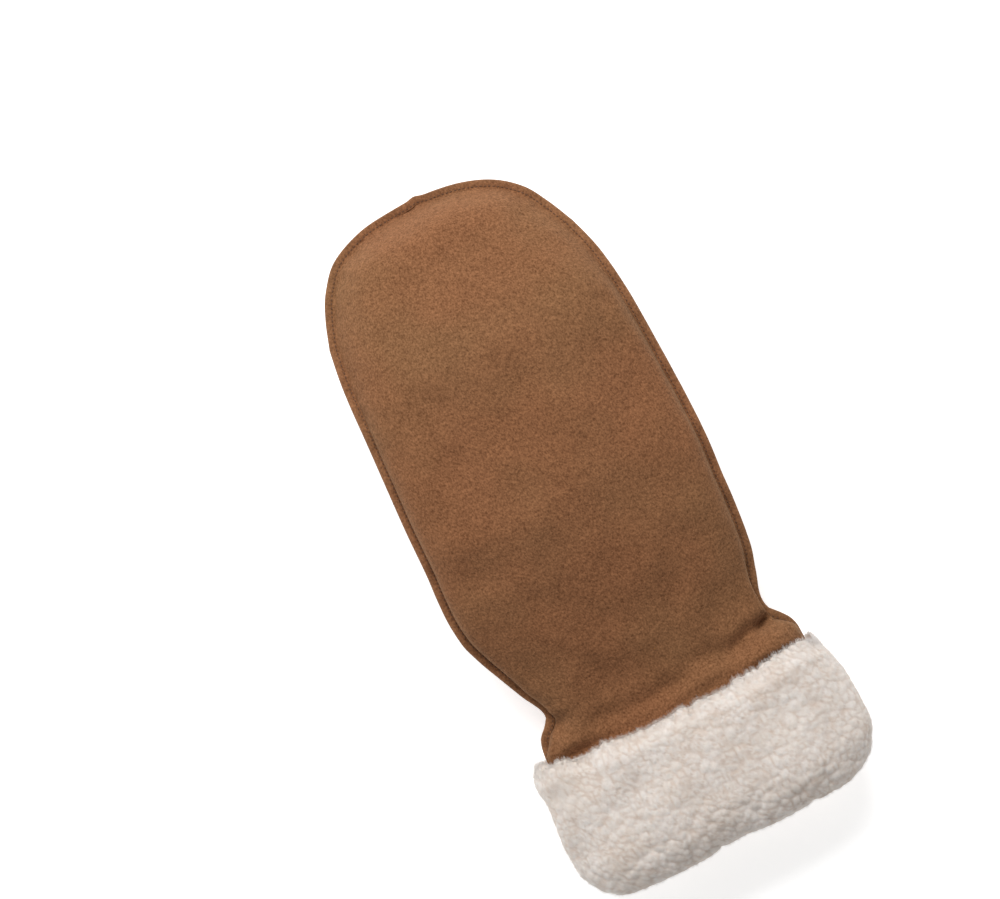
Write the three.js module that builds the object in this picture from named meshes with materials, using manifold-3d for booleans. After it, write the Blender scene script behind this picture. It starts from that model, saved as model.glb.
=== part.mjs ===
// Leather mitten with a turned-up fleece cuff, lying on its palm with the thumb tucked under the fingers.
// Millimetres, +Z up, +Y from the cuff to the fingertips. The origin is on the ground, under the middle.
import * as THREE from 'three';
import { mergeVertices } from 'three/addons/utils/BufferGeometryUtils.js';
import Module from 'manifold-3d';

const wasm = await Module();
wasm.setup();

// Driving dimensions of the hand pocket
const HAND_LENGTH = 210.5;
const PALM_WIDTH = 126.7;
const HAND_THICKNESS = 36;
const WRIST_WIDTH = 98.7;
const BAND_LENGTH = 19;

// Driving dimensions of the thumb, which lies flat under the fingers
const THUMB_LENGTH = 78;
const THUMB_WIDTH = 48;
const THUMB_THICKNESS = 21;

// Driving dimensions of the cuff and its open mouth
const CUFF_LENGTH = 61.5;
const CUFF_WIDTH = 132.5;
const CUFF_THICKNESS = 51;
const CUFF_PRESS = 1.8;
const MOUTH_WIDTH = 102;
const MOUTH_THICKNESS = 21;
const SLOT_DEPTH = 13;

// Leather, seams and clearances
const WALL = 1.6;
const FLANGE = 3.5;
const SEAM_GAP = 0.3;
const SLOT_GAP = 0.35;
const THUMB_REST_GAP = 0.8;
const LUMP_HEIGHT = 1.3;
const LUMP_PITCH = 22;
const PLEAT_HEIGHT = 2.2;
const PLEAT_PITCH = 15;

// Roundness of the leather domes: 2 is an ellipse and more is boxier
const BACK_ROUNDNESS = 2.2;
const PALM_ROUNDNESS = 2.1;
const DOME_STEPS = 12;

const TOTAL_LENGTH = HAND_LENGTH + BAND_LENGTH + CUFF_LENGTH;
const Y_MOUTH = -TOTAL_LENGTH / 2;
const Y_CUFF = Y_MOUTH + CUFF_LENGTH;
const Y_WRIST = Y_CUFF + BAND_LENGTH;
const Y_SLOT = Y_CUFF - SLOT_DEPTH;

// Plan outline of the seam flange. up: share of the hand's length from the wrist. left, right: shares of half the
// palm's width.
const HAND_OUTLINE = [
  { up: 0.067, left: -0.833, right: 0.856 },
  { up: 0.114, left: -0.896, right: 0.901 },
  { up: 0.162, left: -0.959, right: 0.924 },
  { up: 0.209, left: -1.003, right: 0.940 },
  { up: 0.257, left: -1.014, right: 0.951 },
  { up: 0.304, left: -1.006, right: 0.967 },
  { up: 0.352, left: -0.991, right: 0.978 },
  { up: 0.447, left: -0.975, right: 0.986 },
  { up: 0.542, left: -0.951, right: 0.984 },
  { up: 0.637, left: -0.927, right: 0.978 },
  { up: 0.732, left: -0.904, right: 0.951 },
  { up: 0.779, left: -0.883, right: 0.920 },
  { up: 0.817, left: -0.862, right: 0.884 },
];

// The same outline along the wrist band. down: share of the band's length. left, right: shares of half the
// wrist's width.
const BAND_OUTLINE = [
  { down: 1.9, left: -1.135, right: 1.190 },
  { down: 0.74, left: -1.135, right: 1.190 },
  { down: 0.53, left: -1.125, right: 1.172 },
  { down: 0.28, left: -1.095, right: 1.108 },
  { down: 0.05, left: -1.010, right: 1.040 },
  { down: -0.12, left: -0.970, right: 1.032 },
];

// Rounded fingertip. across: share of half the palm's width. up: share of the hand's length.
const TIP_OUTLINE = [
  { across: -0.862, up: 0.817 },
  { across: -0.793, up: 0.874 },
  { across: -0.706, up: 0.922 },
  { across: -0.564, up: 0.966 },
  { across: -0.330, up: 0.993 },
  { across: -0.075, up: 1.000 },
  { across: 0.130, up: 0.998 },
  { across: 0.370, up: 0.985 },
  { across: 0.570, up: 0.959 },
  { across: 0.716, up: 0.920 },
  { across: 0.808, up: 0.872 },
  { across: 0.884, up: 0.817 },
];

// Side view of the hand pocket. up: share of the hand's length. lift: height of the underside as a share of the
// level that the thumb holds it at. body: share of the hand's thickness. seam: share of the body below the seam.
const SIDE_VIEW = [
  { up: -0.22, lift: 0.45, body: 0.83, seam: 0.50 },
  { up: -0.05, lift: 0.45, body: 0.83, seam: 0.50 },
  { up: 0.02, lift: 0.46, body: 0.87, seam: 0.50 },
  { up: 0.114, lift: 0.56, body: 0.96, seam: 0.50 },
  { up: 0.257, lift: 0.82, body: 1.03, seam: 0.47 },
  { up: 0.400, lift: 1.00, body: 1.02, seam: 0.44 },
  { up: 0.540, lift: 1.00, body: 1.00, seam: 0.42 },
  { up: 0.660, lift: 1.00, body: 0.96, seam: 0.42 },
  { up: 0.740, lift: 0.88, body: 0.94, seam: 0.42 },
  { up: 0.817, lift: 0.62, body: 0.94, seam: 0.44 },
  { up: 0.920, lift: 0.38, body: 0.88, seam: 0.46 },
  { up: 1.000, lift: 0.27, body: 0.82, seam: 0.44 },
];

// Outline of the thumb above its crotch. up: share of the thumb's length. left, right: shares of its half width
// from the middle of the thumb.
const THUMB_OUTLINE = [
  { up: 0.00, left: -2.24, right: 0.97 },
  { up: 0.07, left: -2.17, right: 0.97 },
  { up: 0.14, left: -2.04, right: 0.97 },
  { up: 0.20, left: -1.95, right: 0.97 },
  { up: 0.32, left: -1.75, right: 0.98 },
  { up: 0.40, left: -1.64, right: 0.99 },
  { up: 0.56, left: -1.34, right: 1.03 },
  { up: 0.64, left: -1.18, right: 1.04 },
  { up: 0.75, left: -0.99, right: 1.00 },
];

const THUMB_TIP = [
  { across: -0.99, up: 0.75 },
  { across: -0.83, up: 0.83 },
  { across: -0.63, up: 0.91 },
  { across: -0.40, up: 0.965 },
  { across: -0.10, up: 1.00 },
  { across: 0.20, up: 0.995 },
  { across: 0.52, up: 0.96 },
  { across: 0.77, up: 0.89 },
  { across: 0.93, up: 0.82 },
  { across: 1.00, up: 0.75 },
];

// Seam that crosses the palm from its outer edge to the thumb. over: share of the way from the outer edge to the
// thumb's inner edge. up: share of the thumb's length.
const CROSSING = [
  { over: 0.00, up: -0.085 },
  { over: 0.08, up: -0.045 },
  { over: 0.23, up: 0.005 },
  { over: 0.43, up: 0.07 },
  { over: 0.61, up: 0.135 },
  { over: 0.77, up: 0.197 },
  { over: 0.91, up: 0.262 },
  { over: 1.00, up: 0.325 },
];

// Underside of the palm's heel and the thumb. up: share of the hand's length. floor: height of its lowest line as
// a share of the thumb's thickness. A negative one is pressed flat on the ground.
const HEEL_VIEW = [
  { up: -0.22, floor: 0.475 },
  { up: -0.05, floor: 0.475 },
  { up: 0.02, floor: 0.45 },
  { up: 0.114, floor: 0.33 },
  { up: 0.209, floor: 0.12 },
  { up: 0.304, floor: -0.10 },
  { up: 0.400, floor: -0.22 },
  { up: 0.660, floor: -0.22 },
  { up: 1.000, floor: -0.16 },
];

// Dents in the back of the hand near the wrist, and soft folds. across: share of half the palm's width. up: share
// of the hand's length. wide, long: the dent's reach, and deep: its depth, as shares of the hand's thickness.
const DENTS = [
  { across: 0.66, up: -0.030, wide: 0.26, long: 0.13, deep: 0.110 },
  { across: 0.36, up: -0.045, wide: 0.30, long: 0.10, deep: 0.050 },
  { across: -0.70, up: -0.035, wide: 0.25, long: 0.14, deep: 0.060 },
  { across: -0.10, up: -0.008, wide: 1.20, long: 0.10, deep: 0.035 },
  { across: -0.30, up: 0.045, wide: 0.22, long: 0.50, deep: 0.030 },
  { across: 0.28, up: 0.060, wide: 0.20, long: 0.55, deep: 0.030 },
  { across: 0.70, up: 0.130, wide: 0.28, long: 0.80, deep: 0.040 },
  { across: -0.05, up: 0.960, wide: 0.30, long: 0.16, deep: 0.060 },
  { across: 0.10, up: 0.950, wide: 0.14, long: 0.14, deep: 0.040 },
];

// Section through the cuff, from the slot round the pile and the mouth to the lining. down: share of the cuff's
// length. out: 0 on the leather tube, 1 at the full pile, -1 at the open hollow.
const CUFF_SECTION = [
  { down: -0.020, out: 0.30 },
  { down: 0.000, out: 0.58 },
  { down: 0.065, out: 0.84 },
  { down: 0.150, out: 0.88 },
  { down: 0.250, out: 0.92 },
  { down: 0.360, out: 0.95 },
  { down: 0.470, out: 1.00 },
  { down: 0.580, out: 1.00 },
  { down: 0.690, out: 0.98 },
  { down: 0.800, out: 0.86 },
  { down: 0.890, out: 0.64 },
  { down: 0.955, out: 0.36 },
  { down: 0.992, out: 0.02 },
  { down: 1.000, out: -0.38 },
  { down: 0.975, out: -0.76 },
  { down: 0.900, out: -0.97 },
  { down: 0.700, out: -1.00 },
  { down: 0.400, out: -1.00 },
  { down: 0.120, out: -0.97 },
  { down: -0.010, out: -0.80 },
  { down: -0.015, out: -0.50 },
];
const MOUTH_RISE = 8;

// Reads one column of a table at t, as a smooth curve through the rows.
function column(table, by, name, t) {
  const rows = table[0][by] < table[table.length - 1][by] ? table : [...table].reverse();
  if (t <= rows[0][by]) return rows[0][name];
  if (t >= rows[rows.length - 1][by]) return rows[rows.length - 1][name];
  const k = rows.findIndex((row) => row[by] > t) - 1;
  const slope = (a, b) => (rows[b][name] - rows[a][name]) / (rows[b][by] - rows[a][by]);
  const middle = slope(k, k + 1);
  const ease = (side) => {
    if (side < 0 || side * middle <= 0) return side * middle <= 0 ? 0 : 2 * side * middle / (side + middle);
    return 2 * side * middle / (side + middle);
  };
  const before = k > 0 ? ease(slope(k - 1, k)) : middle;
  const after = k + 2 < rows.length ? ease(slope(k + 1, k + 2)) : middle;
  const span = rows[k + 1][by] - rows[k][by];
  const s = (t - rows[k][by]) / span;
  const hermite = [2 * s ** 3 - 3 * s ** 2 + 1, s ** 3 - 2 * s ** 2 + s, -2 * s ** 3 + 3 * s ** 2, s ** 3 - s ** 2];
  return hermite[0] * rows[k][name] + hermite[1] * span * before
    + hermite[2] * rows[k + 1][name] + hermite[3] * span * after;
}

const mix = (a, b, t) => a + (b - a) * t;
const clamp = (t) => Math.min(1, Math.max(0, t));
const smooth = (t) => clamp(t) ** 2 * (3 - 2 * clamp(t));
const dome = (u, roundness) => (1 - (1 - clamp(u)) ** roundness) ** (1 / roundness);
const handShare = (y) => (y - Y_WRIST) / HAND_LENGTH;

// Plan of the hand: its outline as heights along Y, and the centre that the fingertip's rungs fan from.
const PLAN = [
  ...BAND_OUTLINE.map((row) => ({
    y: Y_WRIST - row.down * BAND_LENGTH,
    left: row.left * WRIST_WIDTH / 2,
    right: row.right * WRIST_WIDTH / 2,
  })),
  ...HAND_OUTLINE.map((row) => ({
    y: Y_WRIST + row.up * HAND_LENGTH,
    left: row.left * PALM_WIDTH / 2,
    right: row.right * PALM_WIDTH / 2,
  })),
];
const handEdge = (y) => ({ left: column(PLAN, 'y', 'left', y), right: column(PLAN, 'y', 'right', y) });
const handMiddle = (y) => (handEdge(y).left + handEdge(y).right) / 2;
const Y_FINGERTIP_FAN = PLAN[PLAN.length - 1].y;

// Heights of the hand pocket along Y
const LIE_LEVEL = THUMB_THICKNESS + THUMB_REST_GAP;
const underLevel = (y) => column(SIDE_VIEW, 'up', 'lift', handShare(y)) * LIE_LEVEL;
const bodyHeight = (y) => column(SIDE_VIEW, 'up', 'body', handShare(y)) * HAND_THICKNESS;
const crownLevel = (y) => underLevel(y) + bodyHeight(y);
const seamLevel = (y) => underLevel(y) + column(SIDE_VIEW, 'up', 'seam', handShare(y)) * bodyHeight(y);

// The seam's flange narrows to nothing where the cuff hides it.
const flangeAt = (y) => mix(0.4, FLANGE, smooth((y - Y_CUFF - 0.3 * BAND_LENGTH) / (0.35 * BAND_LENGTH)));

// Rises from 0 at the seam's flange to 1 on the middle line, at a point of the plan below the fingertip's fan.
function riseAt(x, y, inset, roundness) {
  const edge = handEdge(y);
  const middle = handMiddle(y);
  const reach = (edge.right - edge.left) / 2 - flangeAt(y) - inset;
  const fromEdge = reach - Math.abs(x - middle);
  return dome(fromEdge / reach, roundness);
}

// Height of the palm's upper panel, outside when inset is 0.
function palmUnder(x, y, inset) {
  const lip = seamLevel(y) - SEAM_GAP / 2 - WALL + inset;
  return mix(lip, underLevel(y) + inset, riseAt(x, y, inset, PALM_ROUNDNESS));
}

// The thumb's place in the hand's plan
const Y_CROTCH = Y_WRIST + 0.3515 * HAND_LENGTH;
const thumbY = (up) => Y_CROTCH + up * THUMB_LENGTH;
const THUMB_LEFT_SHARE = THUMB_OUTLINE[0].left;
const THUMB_X = handEdge(Y_CROTCH).left - THUMB_LEFT_SHARE * THUMB_WIDTH / 2;
const thumbX = (share) => THUMB_X + share * THUMB_WIDTH / 2;
const thumbShare = (y) => (y - Y_CROTCH) / THUMB_LENGTH;
const Y_THUMB_FAN = thumbY(THUMB_TIP[0].up);
const THUMB_INNER_X = thumbX(THUMB_OUTLINE[0].right);

// The fold between the upper palm and the thumb's back runs from the crotch to the end of the crossing seam.
const Y_FOLD_END = thumbY(CROSSING[CROSSING.length - 1].up);
function foldY(x) {
  const t = clamp((x - handEdge(Y_CROTCH).left) / (THUMB_INNER_X - handEdge(Y_CROTCH).left));
  return mix(Y_CROTCH, Y_FOLD_END - FLANGE, t ** 1.4);
}

// The thumb's own outline in the plan
const thumbLeft = (y) => thumbX(column(THUMB_OUTLINE, 'up', 'left', thumbShare(y)));
const thumbRight = (y) => thumbX(column(THUMB_OUTLINE, 'up', 'right', thumbShare(y)));

// Height of the thumb's back: folded off the upper palm at first, then a pillow of its own.
const THUMB_SEAM_LEVEL = 0.5 * THUMB_THICKNESS;
const THUMB_FOLD_REACH = 0.36 * THUMB_LENGTH;
function thumbBack(x, y, inset, rise) {
  const past = y - foldY(x);
  const split = mix(-0.8 * WALL, 1.6 * THUMB_REST_GAP, smooth(past / (3 * WALL)));
  const hug = palmUnder(x, y, 0) - split;
  const lip = THUMB_SEAM_LEVEL + SEAM_GAP / 2 + WALL;
  const pillow = mix(lip, THUMB_THICKNESS, rise);
  return mix(hug, pillow, smooth(past / THUMB_FOLD_REACH)) - inset;
}

// Steps from the flange to the middle line, closest beside the flange where the leather turns down
const DOME_SHARES = Array.from({ length: DOME_STEPS }, (_, step) => {
  return 1 - Math.cos(Math.PI / 2 * step / (DOME_STEPS - 1));
});

// A rung of plan points from the edge over its flange to the middle. Each knows where its own lip lies.
function rung(edge, middle, flange) {
  const reach = Math.hypot(middle.x - edge.x, middle.y - edge.y);
  const at = (t) => ({ x: mix(edge.x, middle.x, t), y: mix(edge.y, middle.y, t) });
  const lip = at(flange / reach);
  return [
    { ...at(0), rise: 0, lip: at(0) },
    ...DOME_SHARES.map((share) => ({ ...at(mix(flange / reach, 1, share)), rise: share, lip })),
  ];
}

// Widens a flange that a rung crosses at a slant, so that it keeps its width square to the edge.
function slantedFlange(edges, k, middle, width) {
  const a = edges[Math.max(0, k - 1)];
  const b = edges[Math.min(edges.length - 1, k + 1)];
  const along = new THREE.Vector2(b.x - a.x, b.y - a.y).normalize();
  const inward = new THREE.Vector2(middle.x - edges[k].x, middle.y - edges[k].y).normalize();
  return width / Math.max(0.5, Math.abs(along.cross(inward)));
}

// Turns lists of corner points into one closed solid, facing out.
function solid(corners, triangles) {
  const geometry = new THREE.BufferGeometry();
  geometry.setAttribute('position', new THREE.Float32BufferAttribute(corners.flat(), 3));
  geometry.setIndex(triangles.flat());
  const merged = mergeVertices(geometry, 1e-4);
  const index = merged.index.array;
  const kept = [];
  for (let k = 0; k < index.length; k += 3) {
    const [a, b, c] = [index[k], index[k + 1], index[k + 2]];
    if (a !== b && b !== c && c !== a) kept.push([a, b, c]);
  }
  const at = (k) => new THREE.Vector3().fromBufferAttribute(merged.attributes.position, k);
  const volume = kept.reduce((sum, [a, b, c]) => sum + at(a).dot(at(b).cross(at(c))), 0);
  const facing = volume < 0 ? kept.map(([a, b, c]) => [a, c, b]) : kept;
  return new wasm.Manifold(new wasm.Mesh({
    numProp: 3,
    vertProperties: Float32Array.from(merged.attributes.position.array),
    triVerts: Uint32Array.from(facing.flat()),
  }));
}

// Closes two nets of rungs, one for each side of the leather, into a sheet with a wall round its edge.
function sheet(outer, inner) {
  const corners = [];
  const number = new Map();
  for (const net of [outer, inner]) {
    number.set(net, corners.length);
    for (const line of net) corners.push(...line);
  }
  const width = outer[0].length;
  const last = outer.length - 1;
  const at = (net, i, j) => number.get(net) + i * width + j;
  const triangles = [];
  const quad = (a, b, c, d) => triangles.push([a, b, c], [a, c, d]);
  for (let i = 0; i < last; i++) {
    quad(at(outer, i + 1, 0), at(outer, i, 0), at(inner, i, 0), at(inner, i + 1, 0));
    for (let j = 0; j < width - 1; j++) {
      quad(at(outer, i, j), at(outer, i + 1, j), at(outer, i + 1, j + 1), at(outer, i, j + 1));
      quad(at(inner, i, j + 1), at(inner, i + 1, j + 1), at(inner, i + 1, j), at(inner, i, j));
    }
  }
  for (let j = 0; j < width - 1; j++) {
    quad(at(outer, 0, j), at(outer, 0, j + 1), at(inner, 0, j + 1), at(inner, 0, j));
    quad(at(outer, last, j + 1), at(outer, last, j), at(inner, last, j), at(inner, last, j + 1));
  }
  return solid(corners, triangles);
}

// Points of a table's curve, evenly spread over its rows.
function spread(table, names, count) {
  const rows = table.map((row, k) => ({ ...row, k }));
  return Array.from({ length: count }, (_, step) => {
    const k = step / (count - 1) * (rows.length - 1);
    const cell = (name) => new THREE.SplineCurve(rows.map((row) => new THREE.Vector2(row.k, row[name])))
      .getPoint(k / (rows.length - 1)).y;
    return Object.fromEntries(names.map((name) => [name, cell(name)]));
  });
}

const levels = (from, to, count) => Array.from({ length: count + 1 }, (_, k) => mix(from, to, k / count));

// The U of edge points of a panel with the middle that each rung runs to.
function uShape(sideYs, left, right, middleX, fan) {
  const edges = [];
  for (const y of sideYs) edges.push({ x: left(y), y, middle: { x: middleX(y), y } });
  const top = sideYs[sideYs.length - 1];
  const centre = { x: middleX(top), y: top };
  for (const point of fan.slice(1, -1)) edges.push({ ...point, middle: centre });
  for (const y of [...sideYs].reverse()) edges.push({ x: right(y), y, middle: { x: middleX(y), y } });
  return edges;
}

// Both nets of a panel from its U. height gives a point's level from its rung, outside and inside.
function panel(edges, flange, height) {
  const nets = [0, WALL].map((inset) => edges.map((edge, k) => {
    const width = slantedFlange(edges, k, edge.middle, flange(edge.y)) + inset;
    return rung(edge, edge.middle, width).map((point) => [point.x, point.y, height(point, edge, inset)]);
  }));
  return sheet(nets[0], nets[1]);
}

// Dents of the back at a point of the plan
function dentAt(x, y) {
  return DENTS.reduce((sum, row) => {
    const over = (x - row.across * PALM_WIDTH / 2) / (row.wide * HAND_THICKNESS);
    const along = (y - Y_WRIST - row.up * HAND_LENGTH) / (row.long * HAND_THICKNESS);
    return sum + row.deep * HAND_THICKNESS * Math.exp(-(over ** 2) - along ** 2);
  }, 0);
}

const FINGERTIP = spread(TIP_OUTLINE, ['across', 'up'], 17).map((point) => ({
  x: point.across * PALM_WIDTH / 2,
  y: Y_WRIST + point.up * HAND_LENGTH,
}));

// Back of the hand, from the fingertips into the cuff's slot
const CLEAR_OF_SLOT = 1.2;
const Y_TUBE_END = Y_SLOT + CLEAR_OF_SLOT;
const bandLevels = [Y_TUBE_END, ...levels(Y_CUFF, Y_WRIST, 7)];
const aboveSlot = (y) => smooth((y - Y_CUFF - 0.3 * BAND_LENGTH) / (0.2 * BAND_LENGTH));
const backLevels = [...bandLevels, ...levels(Y_WRIST, Y_FINGERTIP_FAN, 13).slice(1)];
const backEdges = uShape(backLevels, (y) => handEdge(y).left, (y) => handEdge(y).right, handMiddle, FINGERTIP);
const backSolid = panel(backEdges, flangeAt, (point, edge, inset) => {
  const lip = seamLevel(edge.y) + SEAM_GAP / 2 + WALL - inset;
  const rise = dome(point.rise, BACK_ROUNDNESS);
  const dent = dentAt(point.x, point.y) * rise * aboveSlot(point.y);
  return mix(lip, crownLevel(edge.middle.y) - inset, rise) - dent;
});

// Upper palm under the fingers. Its lower end is cut off along the fold and the crossing seam.
const underFan = (point, edge, inset) => {
  const lip = seamLevel(edge.y) - SEAM_GAP / 2 - WALL + inset;
  return mix(lip, underLevel(edge.middle.y) + inset, dome(point.rise, PALM_ROUNDNESS));
};
const Y_PALM_UPPER_END = thumbY(CROSSING[0].up) - 3 * FLANGE;
const upperLevels = levels(Y_PALM_UPPER_END, Y_FINGERTIP_FAN, 12);
const upperEdges = uShape(upperLevels, (y) => handEdge(y).left, (y) => handEdge(y).right, handMiddle, FINGERTIP);
const upperSheet = panel(upperEdges, flangeAt, underFan);

// Thumb's back, which grows out of the upper palm at the fold
const THUMB_TIP_EDGE = spread(THUMB_TIP, ['across', 'up'], 11).map((point) => ({
  x: thumbX(point.across),
  y: thumbY(point.up),
}));
const thumbMiddle = (y) => (thumbLeft(y) + thumbRight(y)) / 2;
const thumbLevels = [
  ...levels(Y_CROTCH, Y_FOLD_END, 5),
  ...levels(Y_FOLD_END, Y_THUMB_FAN, 6).slice(1),
];
const thumbEdges = uShape(thumbLevels, thumbLeft, thumbRight, thumbMiddle, THUMB_TIP_EDGE);
const thumbFlange = () => FLANGE;
const thumbSheet = panel(thumbEdges, thumbFlange, (point, edge, inset) => {
  return thumbBack(point.x, point.y, inset, dome(point.rise, PALM_ROUNDNESS));
});

// The crossing seam as plan points from the palm's outer edge to the thumb's inner edge
const crossingStart = handEdge(thumbY(CROSSING[0].up)).right;
const CROSSING_EDGE = CROSSING.map((row) => ({
  over: row.over,
  x: mix(crossingStart, THUMB_INNER_X, row.over),
  y: thumbY(row.up),
}));
const crossingRow = (y) => column(CROSSING_EDGE, 'y', 'x', y);

// Everything below the fold and the crossing seam is cut off the upper palm, but for a lap one flange wide.
function palmCutter() {
  const shape = new THREE.Shape();
  const far = PALM_WIDTH;
  const start = handEdge(Y_CROTCH).left;
  shape.moveTo(-far, Y_MOUTH);
  shape.lineTo(-far, Y_CROTCH);
  for (const x of levels(start, THUMB_INNER_X, 10)) shape.lineTo(x, foldY(x));
  for (const point of [...CROSSING_EDGE].reverse().slice(1)) {
    const lap = mix(-SEAM_GAP, FLANGE, smooth((point.over - 0.2) / 0.4));
    shape.lineTo(point.x - 0.5 * lap, point.y - lap);
  }
  shape.lineTo(far, CROSSING_EDGE[0].y + SEAM_GAP);
  shape.lineTo(far, Y_MOUTH);
  const block = new THREE.ExtrudeGeometry(shape, { depth: 3 * HAND_THICKNESS, bevelEnabled: false });
  block.translate(0, 0, -HAND_THICKNESS);
  const position = block.attributes.position;
  const corners = Array.from({ length: position.count }, (_, k) => {
    return [position.getX(k), position.getY(k), position.getZ(k)];
  });
  return solid(corners, Array.from({ length: position.count / 3 }, (_, k) => [3 * k, 3 * k + 1, 3 * k + 2]));
}
const palmUpperSolid = upperSheet.add(thumbSheet).subtract(palmCutter());

// Level that the top of the lower palm's flange keeps: under the back panel's flange along the hand's sides, and
// under the upper palm or the thumb's back from the crotch and the crossing seam on.
function lowerLip(x, y) {
  const side = seamLevel(y) - SEAM_GAP / 2;
  const start = x < 0 ? Y_CROTCH - FLANGE : CROSSING_EDGE[0].y;
  const under = thumbBack(x, Math.max(y, start), WALL, 0) - SEAM_GAP;
  return mix(side, under, smooth(1 + (y - start) / (1.5 * FLANGE)));
}

// Palm's heel and the thumb's front in one piece, with small pleats that gather it into the wrist
function pleatAt(x, y) {
  const fade = smooth((y - Y_CUFF - 0.5 * BAND_LENGTH) / (0.3 * BAND_LENGTH))
    * smooth((Y_WRIST + 0.17 * HAND_LENGTH - y) / (0.17 * HAND_LENGTH));
  const spreadOut = 1 + 0.5 * clamp((y - Y_WRIST) / (0.17 * HAND_LENGTH));
  return PLEAT_HEIGHT * fade * (0.5 + 0.5 * Math.cos(2 * Math.PI * x / (PLEAT_PITCH * spreadOut)));
}
const lowerRight = (y) => {
  if (y < CROSSING_EDGE[0].y) return handEdge(y).right;
  return y < Y_FOLD_END ? crossingRow(y) : thumbRight(y);
};
const lowerLeft = (y) => (y < Y_CROTCH ? handEdge(y).left : thumbLeft(y));
const lowerMiddle = (y) => (lowerLeft(y) + lowerRight(y)) / 2;
const lowerLevels = [
  ...bandLevels,
  ...levels(Y_WRIST, CROSSING_EDGE[0].y, 6).slice(1),
  ...levels(CROSSING_EDGE[0].y, Y_CROTCH, 2).slice(1),
  ...thumbLevels.slice(1),
];
const lowerEdges = uShape(lowerLevels, lowerLeft, lowerRight, lowerMiddle, THUMB_TIP_EDGE);
const palmLowerSolid = panel(lowerEdges, flangeAt, (point, edge, inset) => {
  const lip = lowerLip(point.lip.x, point.lip.y) - WALL + inset;
  const floor = column(HEEL_VIEW, 'up', 'floor', handShare(edge.middle.y)) * THUMB_THICKNESS;
  const rise = dome(point.rise, PALM_ROUNDNESS);
  return Math.max(mix(lip, floor + inset, rise) + pleatAt(point.x, point.y) * rise, inset);
});

// The leather tube where it stands in the cuff's slot, as half width, heights above and below the seam, and the
// matching sizes inside the leather.
const tube = {
  x: handMiddle(Y_SLOT),
  seam: seamLevel(Y_SLOT),
  half: (handEdge(Y_SLOT).right - handEdge(Y_SLOT).left) / 2,
  above: crownLevel(Y_SLOT) - seamLevel(Y_SLOT),
  below: seamLevel(Y_SLOT) - column(HEEL_VIEW, 'up', 'floor', -1) * THUMB_THICKNESS,
};

// Stations round the leather tube, the same as its rungs' ends: each is a point outside and a point inside the
// leather, as shares of the tube's half width and of its height on that side of the seam.
function tubeStations() {
  const lip = flangeAt(Y_SLOT);
  const quarter = (sideways, upward) => {
    const height = upward > 0 ? tube.above : tube.below;
    const roundness = upward > 0 ? BACK_ROUNDNESS : PALM_ROUNDNESS;
    const point = (flange, foot, share) => ({
      across: sideways * (1 - mix(flange / tube.half, 1, share)),
      up: upward * mix(foot / height, 1, dome(share, roundness)),
    });
    const outerFoot = SEAM_GAP / 2 + WALL;
    const edge = { outer: point(0, outerFoot, 0), inner: point(lip, SEAM_GAP / 2, 0) };
    return [edge, ...DOME_SHARES.map((share) => ({
      outer: point(lip, outerFoot, share),
      inner: point(lip, SEAM_GAP / 2, share),
    }))].map((station) => ({ ...station, height }));
  };
  return [
    ...quarter(-1, 1),
    ...quarter(1, 1).reverse().slice(1),
    ...quarter(1, -1),
    ...quarter(-1, -1).reverse().slice(1),
  ];
}

// Soft lumps of the pile, as the sum of three slanted waves
function lumpAt(x, y, z) {
  const turn = 2 * Math.PI / LUMP_PITCH;
  const waves = Math.sin(turn * (x + 0.6 * y)) + Math.sin(turn * (0.9 * y - 0.7 * x + 0.5 * z))
    + Math.sin(turn * (0.5 * x - 1.1 * y - 0.8 * z));
  return LUMP_HEIGHT * waves / 3;
}

// One ring of the cuff's section, at every station: from the tube out to the full pile, or in to the hollow.
function cuffRing(row, stations) {
  const outside = row.out >= 0;
  const share = Math.abs(row.out);
  const shift = outside ? SLOT_GAP : -WALL - SLOT_GAP;
  const target = outside ? { half: CUFF_WIDTH / 2, tall: CUFF_THICKNESS / 2 }
    : { half: MOUTH_WIDTH / 2, tall: MOUTH_THICKNESS / 2 };
  return stations.map((station) => {
    const at = outside ? station.outer : station.inner;
    const half = mix(tube.half + shift, target.half, share);
    const tall = mix(station.height + shift, target.tall, share);
    const rise = MOUTH_RISE * Math.abs(at.across) ** 5 * smooth((row.down - 0.45) / 0.5);
    const x = mix(tube.x, 0, share) + at.across * half;
    const y = Y_CUFF - row.down * CUFF_LENGTH + rise;
    const z = mix(tube.seam, CUFF_THICKNESS / 2 - CUFF_PRESS, share) + at.up * tall;
    const normal = new THREE.Vector2(at.across / half, at.up / tall).normalize();
    const lump = outside ? Math.min(1, 2 * share) * lumpAt(x, y, z) : 0;
    return [x + lump * normal.x, y, Math.max(0, z + lump * normal.y)];
  });
}

function cuffSolid() {
  const stations = tubeStations();
  const inner = -1e-6;
  const section = [
    { down: SLOT_DEPTH / CUFF_LENGTH, out: inner },
    { down: SLOT_DEPTH / CUFF_LENGTH, out: 0 },
    { down: 0.01, out: 0 },
    ...CUFF_SECTION,
    { down: 0.01, out: inner },
  ];
  const rings = section.map((row) => cuffRing(row, stations));
  const width = stations.length;
  const corners = rings.flat();
  const triangles = [];
  for (let i = 0; i < rings.length; i++) {
    for (let j = 0; j < width; j++) {
      const [a, b] = [i * width, ((i + 1) % rings.length) * width];
      const next = (j + 1) % width;
      triangles.push([a + j, b + j, b + next], [a + j, b + next, a + next]);
    }
  }
  return solid(corners, triangles);
}

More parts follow.
